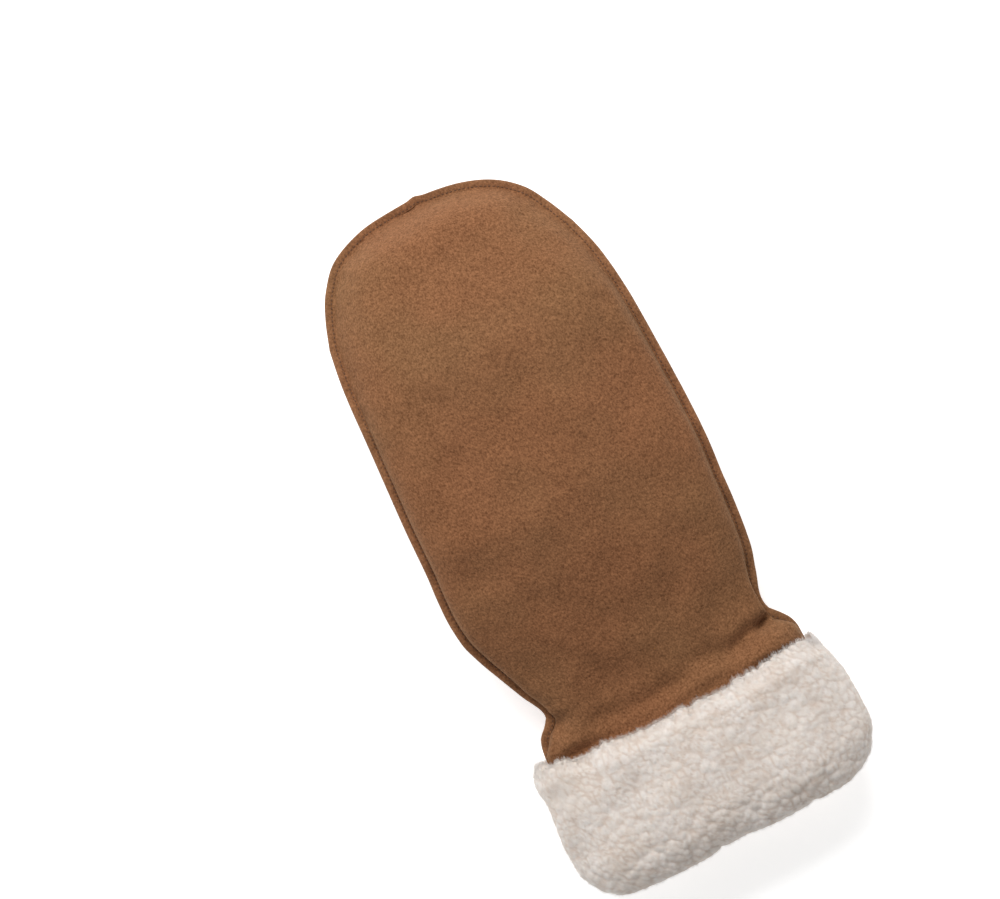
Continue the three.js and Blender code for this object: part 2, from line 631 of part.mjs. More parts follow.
// Gives a solid back as a named mesh with its finish.
function piece(name, body, finish) {
  const mesh = body.getMesh();
  const geometry = new THREE.BufferGeometry();
  geometry.setAttribute('position', new THREE.BufferAttribute(Float32Array.from(mesh.vertProperties), 3));
  geometry.setIndex(new THREE.BufferAttribute(Uint32Array.from(mesh.triVerts), 1));
  geometry.computeVertexNormals();
  const part = new THREE.Mesh(geometry, finish);
  part.name = name;
  return part;
}

const suede = new THREE.MeshStandardMaterial({ color: 0x87603f, roughness: 0.92, metalness: 0 });
const fleece = new THREE.MeshStandardMaterial({ color: 0xddd2c4, roughness: 1, metalness: 0 });

const mitten = new THREE.Group();
mitten.add(
  piece('back_panel', backSolid, suede),
  piece('palm_upper', palmUpperSolid, suede),
  piece('palm_lower', palmLowerSolid, suede),
  piece('cuff', cuffSolid(), fleece),
);

export default mitten;
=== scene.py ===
import math

import bpy
import numpy as np
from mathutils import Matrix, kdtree


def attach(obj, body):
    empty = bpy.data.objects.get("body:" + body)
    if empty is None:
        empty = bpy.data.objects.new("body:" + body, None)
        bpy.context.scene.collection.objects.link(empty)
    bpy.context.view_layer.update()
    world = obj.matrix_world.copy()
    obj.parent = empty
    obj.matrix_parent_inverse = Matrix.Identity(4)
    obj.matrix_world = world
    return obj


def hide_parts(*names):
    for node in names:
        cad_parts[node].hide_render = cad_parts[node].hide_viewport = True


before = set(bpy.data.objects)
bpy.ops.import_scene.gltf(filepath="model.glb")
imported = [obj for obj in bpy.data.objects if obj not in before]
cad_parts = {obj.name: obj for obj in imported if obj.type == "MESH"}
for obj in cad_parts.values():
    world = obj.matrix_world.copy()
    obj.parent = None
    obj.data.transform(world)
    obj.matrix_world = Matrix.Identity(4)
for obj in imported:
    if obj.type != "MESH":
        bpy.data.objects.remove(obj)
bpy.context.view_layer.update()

scene = bpy.context.scene

# Sizes in millimetres, in the part's frame: +Y from the cuff to the fingertips, +Z up from the ground.
MM = 0.001
HAND_LENGTH = 210.5
PALM_WIDTH = 126.7
HAND_THICKNESS = 36
WRIST_WIDTH = 98.7
BAND_LENGTH = 19
THUMB_LENGTH = 78
THUMB_WIDTH = 48
THUMB_THICKNESS = 21
CUFF_LENGTH = 61.5
CUFF_WIDTH = 132.5
CUFF_THICKNESS = 51
CUFF_PRESS = 1.8
MOUTH_WIDTH = 102
MOUTH_THICKNESS = 21
SLOT_DEPTH = 13
MOUTH_RISE = 8
WALL = 1.6
FLANGE = 3.5
TUBE_FLANGE = 0.4
SEAM_GAP = 0.3
SLOT_GAP = 0.35
THUMB_REST_GAP = 0.8
BACK_ROUNDNESS = 2.2
PALM_ROUNDNESS = 2.1

TOTAL_LENGTH = HAND_LENGTH + BAND_LENGTH + CUFF_LENGTH
Y_MOUTH = -TOTAL_LENGTH / 2
Y_CUFF = Y_MOUTH + CUFF_LENGTH
Y_WRIST = Y_CUFF + BAND_LENGTH
Y_SLOT = Y_CUFF - SLOT_DEPTH


def table(names, *rows):
    """A table as one array for each named column."""
    return dict(zip(names.split(), np.array(rows, float).T))


# Outlines as shares: up and down of lengths, left, right and across of half the widths.
HAND_OUTLINE = table(
    "up left right",
    (0.067, -0.833, 0.856), (0.114, -0.896, 0.901), (0.162, -0.959, 0.924), (0.209, -1.003, 0.94),
    (0.257, -1.014, 0.951), (0.304, -1.006, 0.967), (0.352, -0.991, 0.978), (0.447, -0.975, 0.986),
    (0.542, -0.951, 0.984), (0.637, -0.927, 0.978), (0.732, -0.904, 0.951), (0.779, -0.883, 0.92),
    (0.817, -0.862, 0.884),
)
BAND_OUTLINE = table(
    "down left right",
    (1.9, -1.135, 1.19), (0.74, -1.135, 1.19), (0.53, -1.125, 1.172), (0.28, -1.095, 1.108),
    (0.05, -1.01, 1.04), (-0.12, -0.97, 1.032),
)
TIP_OUTLINE = table(
    "across up",
    (-0.862, 0.817), (-0.793, 0.874), (-0.706, 0.922), (-0.564, 0.966), (-0.33, 0.993), (-0.075, 1),
    (0.13, 0.998), (0.37, 0.985), (0.57, 0.959), (0.716, 0.92), (0.808, 0.872), (0.884, 0.817),
)
# Side view of the hand, as shares: its lift, its body's height and where the seam lies in that.
SIDE_VIEW = table(
    "up lift body seam",
    (-0.22, 0.45, 0.83, 0.5), (-0.05, 0.45, 0.83, 0.5), (0.02, 0.46, 0.87, 0.5), (0.114, 0.56, 0.96, 0.5),
    (0.257, 0.82, 1.03, 0.47), (0.4, 1, 1.02, 0.44), (0.54, 1, 1, 0.42), (0.66, 1, 0.96, 0.42),
    (0.74, 0.88, 0.94, 0.42), (0.817, 0.62, 0.94, 0.44), (0.92, 0.38, 0.88, 0.46), (1, 0.27, 0.82, 0.44),
)
# Plan of the thumb, as shares of its length from the crotch and of half its width.
THUMB_OUTLINE = table(
    "up left right",
    (0, -2.24, 0.97), (0.07, -2.17, 0.97), (0.14, -2.04, 0.97), (0.2, -1.95, 0.97), (0.32, -1.75, 0.98),
    (0.4, -1.64, 0.99), (0.56, -1.34, 1.03), (0.64, -1.18, 1.04), (0.75, -0.99, 1),
)
THUMB_TIP = table(
    "across up",
    (-0.99, 0.75), (-0.83, 0.83), (-0.63, 0.91), (-0.4, 0.965), (-0.1, 1), (0.2, 0.995), (0.52, 0.96),
    (0.77, 0.89), (0.93, 0.82), (1, 0.75),
)
# The seam across the palm, from the right side seam to the thumb's inner side.
CROSSING = table(
    "over up",
    (0, -0.085), (0.08, -0.045), (0.23, 0.005), (0.43, 0.07), (0.61, 0.135), (0.77, 0.197), (0.91, 0.262),
    (1, 0.325),
)
# Lowest level of the palm's heel, as a share of the thumb's thickness.
HEEL_VIEW = table(
    "up floor",
    (-0.22, 0.475), (-0.05, 0.475), (0.02, 0.45), (0.114, 0.33), (0.209, 0.12), (0.304, -0.1), (0.4, -0.22),
    (0.66, -0.22), (1, -0.16),
)

# Dents and swellings of the back, in millimetres. lean turns a dent's long side, in degrees.
DENTS = table(
    "x y wide long lean deep",
    (45.4, -71, 3.4, 2.6, 20, 10), (36, -72.9, 9.5, 3.6, 22, 5), (22, -72, 10, 4.2, -14, 2.6),
    (51, -70, 2.6, 3.2, 0, 2.2), (0, -75.5, 17, 4.2, 3, 2.3), (-27, -73.5, 12, 4.4, -8, 2.3),
    (-45, -69, 4.6, 3, -15, 5.2), (-24, -84, 26, 3.4, 0, 1.7), (-43, -85, 14, 9, 0, 4.2),
    (50.5, -83, 5, 5.6, 10, -2), (40, 30, 12, 34, -4, 1.6), (24, -84, 26, 2.8, 0, 1.2),
    (-46.6, -56.4, 3.4, 2.6, 10, 1.8), (-41, -47, 7, 9, 30, 1.5), (43, -82, 10, 6.4, 18, -4.4),
    (-45, -76.5, 6.5, 4.5, 10, -1), (8, -80, 24, 3, 0, -0.8), (-20, -60, 6, 13, 16, 1.1),
    (14, -58, 6, 15, -10, 1.1), (31, -58, 5, 11, -28, 1.5), (-4, -62, 4, 8, 6, 0.9), (44, -38, 8, 26, 0, 1),
    (1.5, 139.5, 3.6, 5.5, 20, 1.9), (-4, 136.5, 5.5, 3.4, 35, 1.2), (9.5, 138, 4, 4, 0, -0.9),
    (44, 100, 4, 13, 32, 1.6), (-30, 40, 14, 46, 14, 1), (16, 88, 20, 9, -24, 1.1), (28, 18, 9, 40, -6, 0.9),
    (38, 82, 6, 16, -30, 0.8),
)
# How far the dome hangs out over the flange beside the waist. side: -1 left, 1 right.
OVERHANG = table(
    "side y over",
    (1, -30, 0), (1, -46, 0.3), (1, -52, 0.9), (1, -56, 2.3), (1, -61, 3.5), (1, -67, 3.8), (1, -69.6, 2.8),
    (1, -71.4, 0.4), (1, -73, 0), (-1, 100, 0), (-1, 82, 0.6), (-1, 60, 1.5), (-1, 20, 1.6), (-1, -20, 1.5),
    (-1, -42, 1.9), (-1, -50, 2.6), (-1, -58, 3.1), (-1, -62.5, 2.7), (-1, -65.5, 0.6), (-1, -68, 0),
)
# How softly the dome rises from its flange, in millimetres. side: -1 left, 1 right.
FOOT = table(
    "side y soft",
    (-1, -66, 0.35), (-1, -40, 0.6), (-1, 20, 1.2), (-1, 60, 2.2), (-1, 95, 4), (-1, 146, 5), (1, -66, 0.35),
    (1, 40, 0.5), (1, 72, 1.2), (1, 92, 3.4), (1, 115, 4.4), (1, 146, 5),
)
# Section of the cuff from its border over the fold to the inside, where out is below 0.
CUFF_SECTION = table(
    "down out",
    (-0.02, 0.3), (0, 0.58), (0.065, 0.84), (0.15, 0.88), (0.25, 0.92), (0.36, 0.95), (0.47, 1), (0.58, 1),
    (0.69, 0.98), (0.8, 0.86), (0.89, 0.64), (0.955, 0.36), (0.992, 0.02), (1, -0.38), (0.975, -0.76),
    (0.9, -0.97), (0.7, -1), (0.4, -1), (0.12, -0.97), (-0.01, -0.8), (-0.015, -0.5),
)
# How far the fleece's border and its fold shift towards the fingers, across the cuff, in millimetres.
FLEECE_PUSH = table(
    "x border fold",
    (-66, 1.6, 0), (-57, 1.8, 0), (-48, 0.7, 0.8), (-35, -0.9, 2.8), (-19, -2.4, 4.3), (-10, -2.8, 4.9),
    (2, -3, 3.9), (12, -3, 3.1), (32, -3.8, 1.8), (46, -3.2, 1.2), (56, -3.2, 0.4), (61, -4, 0.1), (66, -5, 0),
)


# Curves and helpers
def column(rows, by, name, t):
    """Reads one column of a table at t, as a smooth curve that doesn't overshoot its rows."""
    order = np.argsort(rows[by])
    x, y = rows[by][order], rows[name][order]
    slope = np.diff(y) / np.diff(x)
    before, after = slope[:-1], slope[1:]
    turning = before * after <= 0
    inner = np.where(turning, 0, 2 * before * after / np.where(turning, 1, before + after))
    ease = np.concatenate([slope[:1], inner, slope[-1:]])
    t = np.clip(np.asarray(t, float), x[0], x[-1])
    k = np.clip(np.searchsorted(x, t, "right") - 1, 0, len(x) - 2)
    span = x[k + 1] - x[k]
    s = (t - x[k]) / span
    return (
        (2 * s**3 - 3 * s**2 + 1) * y[k]
        + (s**3 - 2 * s**2 + s) * span * ease[k]
        + (3 * s**2 - 2 * s**3) * y[k + 1]
        + (s**3 - s**2) * span * ease[k + 1]
    )


def mix(a, b, t):
    return a + (b - a) * t


def smooth(t):
    t = np.clip(t, 0, 1)
    return t**2 * (3 - 2 * t)


def bell(t):
    return np.exp(-(t**2))


def dome(u, roundness):
    return (1 - (1 - np.clip(u, 0, 1)) ** roundness) ** (1 / roundness)


def ripple(points, pitch, seed, waves=14):
    """A seeded random field of about unit size whose lumps are pitch apart."""
    random = np.random.default_rng(seed)
    points = np.asarray(points, float)
    total = np.zeros(points.shape[:-1])
    for _ in range(waves):
        turn = random.normal(size=points.shape[-1])
        turn *= 2 * math.pi / (pitch * random.uniform(0.75, 1.6)) / np.linalg.norm(turn)
        total += np.sin(points @ turn + random.uniform(0, 2 * math.pi))
    return total * math.sqrt(2 / waves)


def wave(pitch, seed, *axes):
    """The same, over coordinates given one by one."""
    return ripple(np.stack(axes, -1), pitch, seed)


def spline(points, count):
    """Evenly numbered points of a smooth curve through the given ones, along the first axis."""
    points = np.asarray(points, float)
    padded = np.concatenate([2 * points[:1] - points[1:2], points, 2 * points[-1:] - points[-2:-1]])
    t = np.linspace(0, len(points) - 1, count)
    k = np.minimum(t.astype(int), len(points) - 2)
    s = (t - k).reshape(-1, *[1] * (points.ndim - 1))
    a, b, c, d = padded[k], padded[k + 1], padded[k + 2], padded[k + 3]
    return 0.5 * (2 * b + (c - a) * s + (2 * a - 5 * b + 4 * c - d) * s**2 + (3 * b - a - 3 * c + d) * s**3)


def run_along(line):
    """Length run along a line, at each of its points."""
    return np.concatenate([[0], np.cumsum(np.linalg.norm(np.diff(line, axis=0), axis=1))])


def at_runs(places, run, line):
    """Points of a line at the given lengths run along it."""
    return np.stack([np.interp(places, run, line[:, k]) for k in range(3)], 1)


def unit(vectors):
    return vectors / np.linalg.norm(vectors, axis=1, keepdims=True)


def add_object(name, data):
    made = bpy.data.objects.new(name, data)
    scene.collection.objects.link(made)
    return made


# Plan of the hand
def hand_share(y):
    return (y - Y_WRIST) / HAND_LENGTH


PLAN = {
    side: np.concatenate([BAND_OUTLINE[side] * WRIST_WIDTH / 2, HAND_OUTLINE[side] * PALM_WIDTH / 2])
    for side in ("left", "right")
}
PLAN["y"] = Y_WRIST + np.concatenate([-BAND_OUTLINE["down"] * BAND_LENGTH, HAND_OUTLINE["up"] * HAND_LENGTH])
Y_FAN = PLAN["y"].max()


def hand_left(y):
    return column(PLAN, "y", "left", y)


def hand_right(y):
    return column(PLAN, "y", "right", y)


def hand_middle(y):
    return (hand_left(y) + hand_right(y)) / 2


def under_level(y):
    return column(SIDE_VIEW, "up", "lift", hand_share(y)) * (THUMB_THICKNESS + THUMB_REST_GAP)


def body_height(y):
    return column(SIDE_VIEW, "up", "body", hand_share(y)) * HAND_THICKNESS


def crown_level(y):
    return under_level(y) + body_height(y)


def seam_level(y):
    return under_level(y) + column(SIDE_VIEW, "up", "seam", hand_share(y)) * body_height(y)


def past_cuff(y, start):
    """Grows from 0 to 1 along the band, from the given share of its length on."""
    return smooth((y - Y_CUFF - start * BAND_LENGTH) / (0.35 * BAND_LENGTH))


def flange_at(y):
    return mix(TUBE_FLANGE, FLANGE, past_cuff(y, 0.3))


def clear_of_cuff(y):
    """0 under the cuff, where the leather is plain, and 1 beyond it."""
    return past_cuff(y, 0.1)


# Plan of the thumb, which lies under the fingers
CROTCH_SHARE = 0.3515
FOLD_BEND = 1.4
THUMB_PARTING = 0.36
Y_CROTCH = Y_WRIST + CROTCH_SHARE * HAND_LENGTH
THUMB_X = hand_left(Y_CROTCH) - THUMB_OUTLINE["left"][0] * THUMB_WIDTH / 2


def thumb_y(up):
    return Y_CROTCH + up * THUMB_LENGTH


def thumb_x(share):
    return THUMB_X + share * THUMB_WIDTH / 2


def thumb_left(y):
    return thumb_x(column(THUMB_OUTLINE, "up", "left", (y - Y_CROTCH) / THUMB_LENGTH))


def thumb_right(y):
    return thumb_x(column(THUMB_OUTLINE, "up", "right", (y - Y_CROTCH) / THUMB_LENGTH))


Y_THUMB_FAN = thumb_y(THUMB_TIP["up"][0])
THUMB_INNER_X = thumb_x(THUMB_OUTLINE["right"][0])
Y_FOLD_END = thumb_y(CROSSING["up"][-1])
CROSSING_EDGE = {
    "over": CROSSING["over"],
    "x": mix(hand_right(thumb_y(CROSSING["up"][0])), THUMB_INNER_X, CROSSING["over"]),
    "y": thumb_y(CROSSING["up"]),
}


def fold_y(x):
    """The fold at the crotch, where the upper palm turns into the thumb."""
    start = hand_left(Y_CROTCH)
    t = np.clip((x - start) / (THUMB_INNER_X - start), 0, 1)
    return mix(Y_CROTCH, Y_FOLD_END - FLANGE, t**FOLD_BEND)


def palm_under(x, y):
    """Outer level of the upper palm."""
    reach = (hand_right(y) - hand_left(y)) / 2 - flange_at(y)
    rise = dome((reach - np.abs(x - hand_middle(y))) / reach, PALM_ROUNDNESS)
    return mix(seam_level(y) - SEAM_GAP / 2 - WALL, under_level(y), rise)


def thumb_back(x, y, inset, rise):
    """Level of the thumb's back: folded off the upper palm at first, then a pillow of its own."""
    past = y - fold_y(x)
    split = mix(-0.8 * WALL, 1.6 * THUMB_REST_GAP, smooth(past / (3 * WALL)))
    lip = 0.5 * THUMB_THICKNESS + SEAM_GAP / 2 + WALL
    pillow = mix(lip, THUMB_THICKNESS, rise)
    return mix(palm_under(x, y) - split, pillow, smooth(past / (THUMB_PARTING * THUMB_LENGTH))) - inset


# Nets of rungs: each rung runs from the edge over its flange to the panel's middle line
FLANGE_SHARES = np.array([0, 0.02, 0.07, 0.16, 0.32, 0.5, 0.66, 0.74, 0.8, 0.86, 0.93, 1.0])
DOME_STEPS = 44
DOME_SHARES = 1 - np.cos(np.pi / 2 * np.linspace(0, 1, DOME_STEPS))[1:]
STITCHED_STEPS = len(FLANGE_SHARES) + 2
RAW_EDGE = 0.3
STITCH_INSET = 2.75
GROOVE_DEPTH = 0.13
LEAST_WALL = 0.9


def u_shape(y, left, right, fan):
    """A panel's edge points, the point that each one's rung runs to and the length run along the edge."""
    up, down = np.stack([left(y), y], 1), np.stack([right(y), y], 1)[::-1]
    centre = np.stack([(left(y) + right(y)) / 2, y], 1)
    edge = np.concatenate([up, fan[1:-1], down])
    goal = np.concatenate([centre, np.repeat(centre[-1:], len(fan) - 2, 0), centre[::-1]])
    return {"edge": edge, "goal": goal, "run": run_along(edge)}


def rungs(shape, flange, inset):
    """Plan points of every rung, how far each is risen, where its lip lies and how far it is from the edge."""
    edge, goal = shape["edge"], shape["goal"]
    along = np.gradient(edge, axis=0)
    inward = goal - edge
    reach = np.linalg.norm(inward, axis=1)
    cross = along[:, 0] * inward[:, 1] - along[:, 1] * inward[:, 0]
    slant = np.maximum(0.5, np.abs(cross) / (np.linalg.norm(along, axis=1) * reach))
    lip = ((flange(edge[:, 1]) / slant + inset) / reach)[:, None]
    t = np.concatenate([FLANGE_SHARES * lip, lip + DOME_SHARES * (1 - lip)], 1)
    plan = edge[:, None] + t[..., None] * inward[:, None]
    rise = np.concatenate([np.zeros(len(FLANGE_SHARES)), DOME_SHARES])
    return {
        "x": plan[..., 0],
        "y": plan[..., 1],
        "rise": np.broadcast_to(rise, plan.shape[:2]),
        "lip": edge + lip * inward,
        "in": t * reach[:, None] * slant[:, None],
        "run": np.broadcast_to(shape["run"][:, None], plan.shape[:2]),
        "edge": edge,
        "goal": goal,
    }


def weld(points, triangles):
    """Joins points that lie together and drops the triangles that this empties."""
    _, first, number = np.unique(np.round(points, 4), axis=0, return_index=True, return_inverse=True)
    triangles = number.reshape(-1)[triangles]
    a, b, c = triangles.T
    return first, triangles[(a != b) & (b != c) & (c != a)]


def split_quads(quads):
    quads = np.concatenate([q.reshape(-1, 4) for q in quads])
    return np.concatenate([quads[:, [0, 1, 2]], quads[:, [0, 2, 3]]])


def outward(points, triangles):
    a, b, c = (points[triangles[:, k]] for k in range(3))
    volume = np.einsum("ij,ij->", a, np.cross(b, c))
    return triangles[:, ::-1] if volume < 0 else triangles


def close_sheet(outer, inner):
    """Closes the two sides of the leather into one sheet with a wall round its edge."""
    rows, width, _ = outer.shape
    o = np.arange(rows * width).reshape(rows, width)
    i = o + rows * width
    quads = [
        np.stack([o[1:, 0], o[:-1, 0], i[:-1, 0], i[1:, 0]], -1),
        np.stack([o[:-1, :-1], o[1:, :-1], o[1:, 1:], o[:-1, 1:]], -1),
        np.stack([i[:-1, 1:], i[1:, 1:], i[1:, :-1], i[:-1, :-1]], -1),
        np.stack([o[0, :-1], o[0, 1:], i[0, 1:], i[0, :-1]], -1),
        np.stack([o[-1, 1:], o[-1, :-1], i[-1, :-1], i[-1, 1:]], -1),
    ]
    points = np.concatenate([outer.reshape(-1, 3), inner.reshape(-1, 3)])
    first, triangles = weld(points, split_quads(quads))
    return first, outward(points[first], triangles)


def make_piece(name, points, triangles, marks=None):
    """A mesh object from arrays, in metres. marks are values kept at each point for its material."""
    mesh = bpy.data.meshes.new(name)
    mesh.vertices.add(len(points))
    mesh.vertices.foreach_set("co", (points * MM).astype(np.float32).ravel())
    mesh.loops.add(triangles.size)
    mesh.loops.foreach_set("vertex_index", triangles.astype(np.int32).ravel())
    mesh.polygons.add(len(triangles))
    mesh.polygons.foreach_set("loop_start", np.arange(0, triangles.size, 3, dtype=np.int32))
    mesh.update(calc_edges=True)
    for key, values in (marks or {}).items():
        mark = mesh.attributes.new(key, "FLOAT", "POINT")
        mark.data.foreach_set("value", values.astype(np.float32))
    mesh.shade_smooth()
    return add_object(name, mesh)


# Relief of the leather
def sway(x, y):
    """Slow unevenness that panels sewn together share."""
    return 0.45 * wave(52, 11, x, y) * clear_of_cuff(y)


def flutter(net):
    """Gentle waves of the flange, which fade out just inside the seam."""
    fade = np.exp(-np.maximum(net["in"] - FLANGE, 0) / 2.5) * clear_of_cuff(net["y"])
    return 0.28 * wave(15, 12, net["x"], net["y"]) * fade


def dent_at(x, y):
    """How deep the back is dented at each point."""
    total = np.zeros(np.shape(x))
    for dent_x, dent_y, wide, long, lean, deep in zip(*DENTS.values()):
        turn = math.radians(lean)
        dx, dy = x - dent_x, y - dent_y
        over = (dx * math.cos(turn) + dy * math.sin(turn)) / wide
        along = (dy * math.cos(turn) - dx * math.sin(turn)) / long
        total += deep * np.exp(-(over**2) - along**2)
    return total


def pucker(net, seed, strength):
    """Small gathers square to the seam, which die out over the dome."""
    run = net["run"]
    inward = np.maximum(net["in"] - FLANGE, 0)
    swing = wave(9.0, seed, run, 0.35 * inward) + 0.6 * wave(5.2, seed + 1, run, 0.3 * inward)
    where = smooth(0.5 + 0.5 * wave(60, seed + 2, run))
    body = smooth(inward / 1.5) * np.exp(-inward / 9.0)
    return strength * swing * where * body


def soft_edge(net):
    """How far the surface sinks at the rounded raw edge and in the pressed line of stitches."""
    inward = net["in"]
    corner = np.maximum(RAW_EDGE - inward, 0)
    rounding = RAW_EDGE - np.sqrt(np.maximum(RAW_EDGE**2 - corner**2, 0))
    full = np.clip(flange_at(net["edge"][:, 1]) / FLANGE, 0, 1)[:, None] ** 2
    groove = GROOVE_DEPTH * bell((inward - STITCH_INSET) / 0.40) * full
    return rounding + groove


def fine_relief(x, y, seed):
    return 0.30 * wave(24, seed, x, y) + 0.10 * wave(8.5, seed + 5, x, y) + 0.035 * wave(3.4, seed + 7, x, y)


def by_side(rows, name, net):
    """A column for each rung, from the rows of the side that its edge is on, and that side's sign."""
    on_right = net["edge"][:, :1] > net["goal"][:, :1]
    both = []
    for side in (-1, 1):
        own = {key: values[rows["side"] == side] for key, values in rows.items()}
        both.append(column(own, "y", name, net["edge"][:, 1:]))
    return np.where(on_right, both[1], both[0]), np.where(on_right, 1, -1)


def overhang(net):
    """Sideways shift that lets the dome bulge out over its flange."""
    steep = smooth(dome(net["rise"], BACK_ROUNDNESS) / 0.34) * (1 - smooth(net["rise"] / 0.5))
    reach, side = by_side(OVERHANG, "over", net)
    return side * reach * steep


def marks_of(net, first):
    """How near the raw edge and how deep in the stitched groove each point lies, for the suede's colour: the groove
    mark is painted shade.
    """
    raw = np.exp(-np.maximum(net["in"], 0) / 0.55)
    groove = bell((net["in"] - STITCH_INSET) / 0.55)
    sides = {"raw": (raw, raw), "groove": (groove, np.zeros_like(groove))}
    return {key: np.stack(both).ravel()[first] for key, both in sides.items()}


def stitch_row(outer, net):
    """The line on the leather that a row of stitches follows."""
    points, inward = outer[:, :STITCHED_STEPS], net["in"][:, :STITCHED_STEPS]
    line = np.empty((len(points), 3))
    for k in range(len(points)):
        for axis in range(3):
            line[k, axis] = np.interp(STITCH_INSET, inward[k], points[k, :, axis])
    return line


def shared_mean(goals, ends):
    """Rungs that run to the same goal end in the same point."""
    _, group = np.unique(np.round(goals, 3), axis=0, return_inverse=True)
    group = group.reshape(-1)
    size = np.bincount(group)
    return np.stack([(np.bincount(group, ends[:, axis]) / size)[group] for axis in range(3)], 1)


def panel(shape, flange, height, relief, seed, pucker_strength, down=False, bulge=False):
    """A sewn leather panel and the line for its stitches. height gives the level inside and outside."""
    sides = []
    for inset in (0, WALL):
        net = rungs(shape, flange, inset)
        level = height(net, inset) + relief(net)
        if inset == 0:
            top = net
            clear = clear_of_cuff(net["y"])
            bump = pucker(net, seed, pucker_strength) * clear
            bump += fine_relief(net["x"], net["y"], seed + 20) * smooth(net["rise"] / 0.15) * clear
            level = level + (-1 if down else 1) * (bump - soft_edge(net))
        if down:
            level = np.maximum(level, inset * LEAST_WALL)
        x = net["x"] + overhang(net) if bulge else net["x"]
        side = np.stack([x, net["y"], level], -1)
        side[:, -1] = shared_mean(net["goal"], side[:, -1])
        sides.append(side)
    first, triangles = close_sheet(*sides)
    points = np.concatenate([s.reshape(-1, 3) for s in sides])[first]
    return points, triangles, marks_of(top, first), stitch_row(sides[0], top)


# Back of the hand
FINGERTIP = spline(
    np.stack([TIP_OUTLINE["across"] * PALM_WIDTH / 2, Y_WRIST + TIP_OUTLINE["up"] * HAND_LENGTH], 1), 121
)
FINGERTIP[:, 1] += 0.8 * bell((FINGERTIP[:, 0] - 4.3) / 2.4)
Y_TUBE_END = Y_SLOT + 1.2
STEP = 1.7


def levels(start, end):
    """Even places along the hand, about STEP apart."""
    return np.linspace(start, end, max(2, int(round(abs(end - start) / STEP)) + 1))


def middle_y(net):
    """Where along the side view each point takes its level: a little past the fan's centre at most."""
    return net["goal"][:, 1:] + 8 * np.tanh(np.maximum(net["y"] - Y_FAN, 0) / 8)


def back_height(net, inset):
    y_edge = net["edge"][:, 1:]
    lip = seam_level(y_edge) + SEAM_GAP / 2 + WALL - inset
    past_lip = np.maximum(net["in"] - flange_at(y_edge) - inset, 0)
    foot = 1 - np.exp(-past_lip / by_side(FOOT, "soft", net)[0])
    return mix(lip, crown_level(middle_y(net)) - inset, dome(net["rise"], BACK_ROUNDNESS) * foot)


def back_relief(net):
    x, y = net["x"], net["y"]
    rise = np.sqrt(dome(net["rise"], BACK_ROUNDNESS))
    open_part = smooth((y - Y_CUFF + 0.05 * BAND_LENGTH) / (0.15 * BAND_LENGTH))
    return sway(x, y) + flutter(net) - dent_at(x, y) * rise * open_part


back_shape = u_shape(levels(Y_TUBE_END, Y_FAN), hand_left, hand_right, FINGERTIP)
back_mesh = panel(back_shape, flange_at, back_height, back_relief, 100, 0.34, bulge=True)

# Upper palm, and the thumb's back that grows out of it
THUMB_TIP_EDGE = spline(np.stack([thumb_x(THUMB_TIP["across"]), thumb_y(THUMB_TIP["up"])], 1), 61)


def under_height(net, inset):
    lip = seam_level(net["edge"][:, 1:]) - SEAM_GAP / 2 - WALL + inset
    return mix(lip, under_level(middle_y(net)) + inset, dome(net["rise"], PALM_ROUNDNESS))


def upper_relief(net):
    return sway(net["x"], net["y"]) + flutter(net)


def thumb_relief(net):
    return sway(net["x"], net["y"])


def thumb_height(net, inset):
    return thumb_back(net["x"], net["y"], inset, dome(net["rise"], PALM_ROUNDNESS))


y_crossing = CROSSING_EDGE["y"][0]
upper_shape = u_shape(levels(y_crossing - 3 * FLANGE, Y_FAN), hand_left, hand_right, FINGERTIP)
upper_mesh = panel(upper_shape, flange_at, under_height, upper_relief, 200, 0.25, down=True)
thumb_levels = np.concatenate([levels(Y_CROTCH, Y_FOLD_END), levels(Y_FOLD_END, Y_THUMB_FAN)[1:]])
thumb_shape = u_shape(thumb_levels, thumb_left, thumb_right, THUMB_TIP_EDGE)
thumb_mesh = panel(thumb_shape, lambda y: FLANGE, thumb_height, thumb_relief, 300, 0.2)

# How low and high the cutter reaches, in metres
CUTTER_HEIGHTS = (-0.04, 0.1)


def palm_cutter():
    """Cuts off the upper palm all that is below the fold and the crossing seam, but for a lap."""
    far = PALM_WIDTH
    start = hand_left(Y_CROTCH)
    corners = [(-far, Y_MOUTH), (-far, Y_CROTCH)]
    corners += [(x, float(fold_y(x))) for x in np.linspace(start, THUMB_INNER_X, 60)]
    over = np.linspace(1, 0, 80)[1:]
    crossing_x = np.interp(over, CROSSING_EDGE["over"], CROSSING_EDGE["x"])
    crossing_y = column(CROSSING_EDGE, "over", "y", over)
    lap = mix(-SEAM_GAP, FLANGE, smooth((over - 0.012) / 0.05))
    corners += list(zip(crossing_x - 0.5 * lap, crossing_y - lap))
    corners += [(far, y_crossing + SEAM_GAP), (far, Y_MOUTH)]
    count = len(corners)
    points = [(x * MM, y * MM, z) for z in CUTTER_HEIGHTS for x, y in corners]
    faces = [tuple(range(count)), tuple(range(count, 2 * count))[::-1]]
    faces += [(k + count, (k + 1) % count + count, (k + 1) % count, k) for k in range(count)]
    mesh = bpy.data.meshes.new("cutter")
    mesh.from_pydata(points, [], faces)
    return add_object("cutter", mesh)


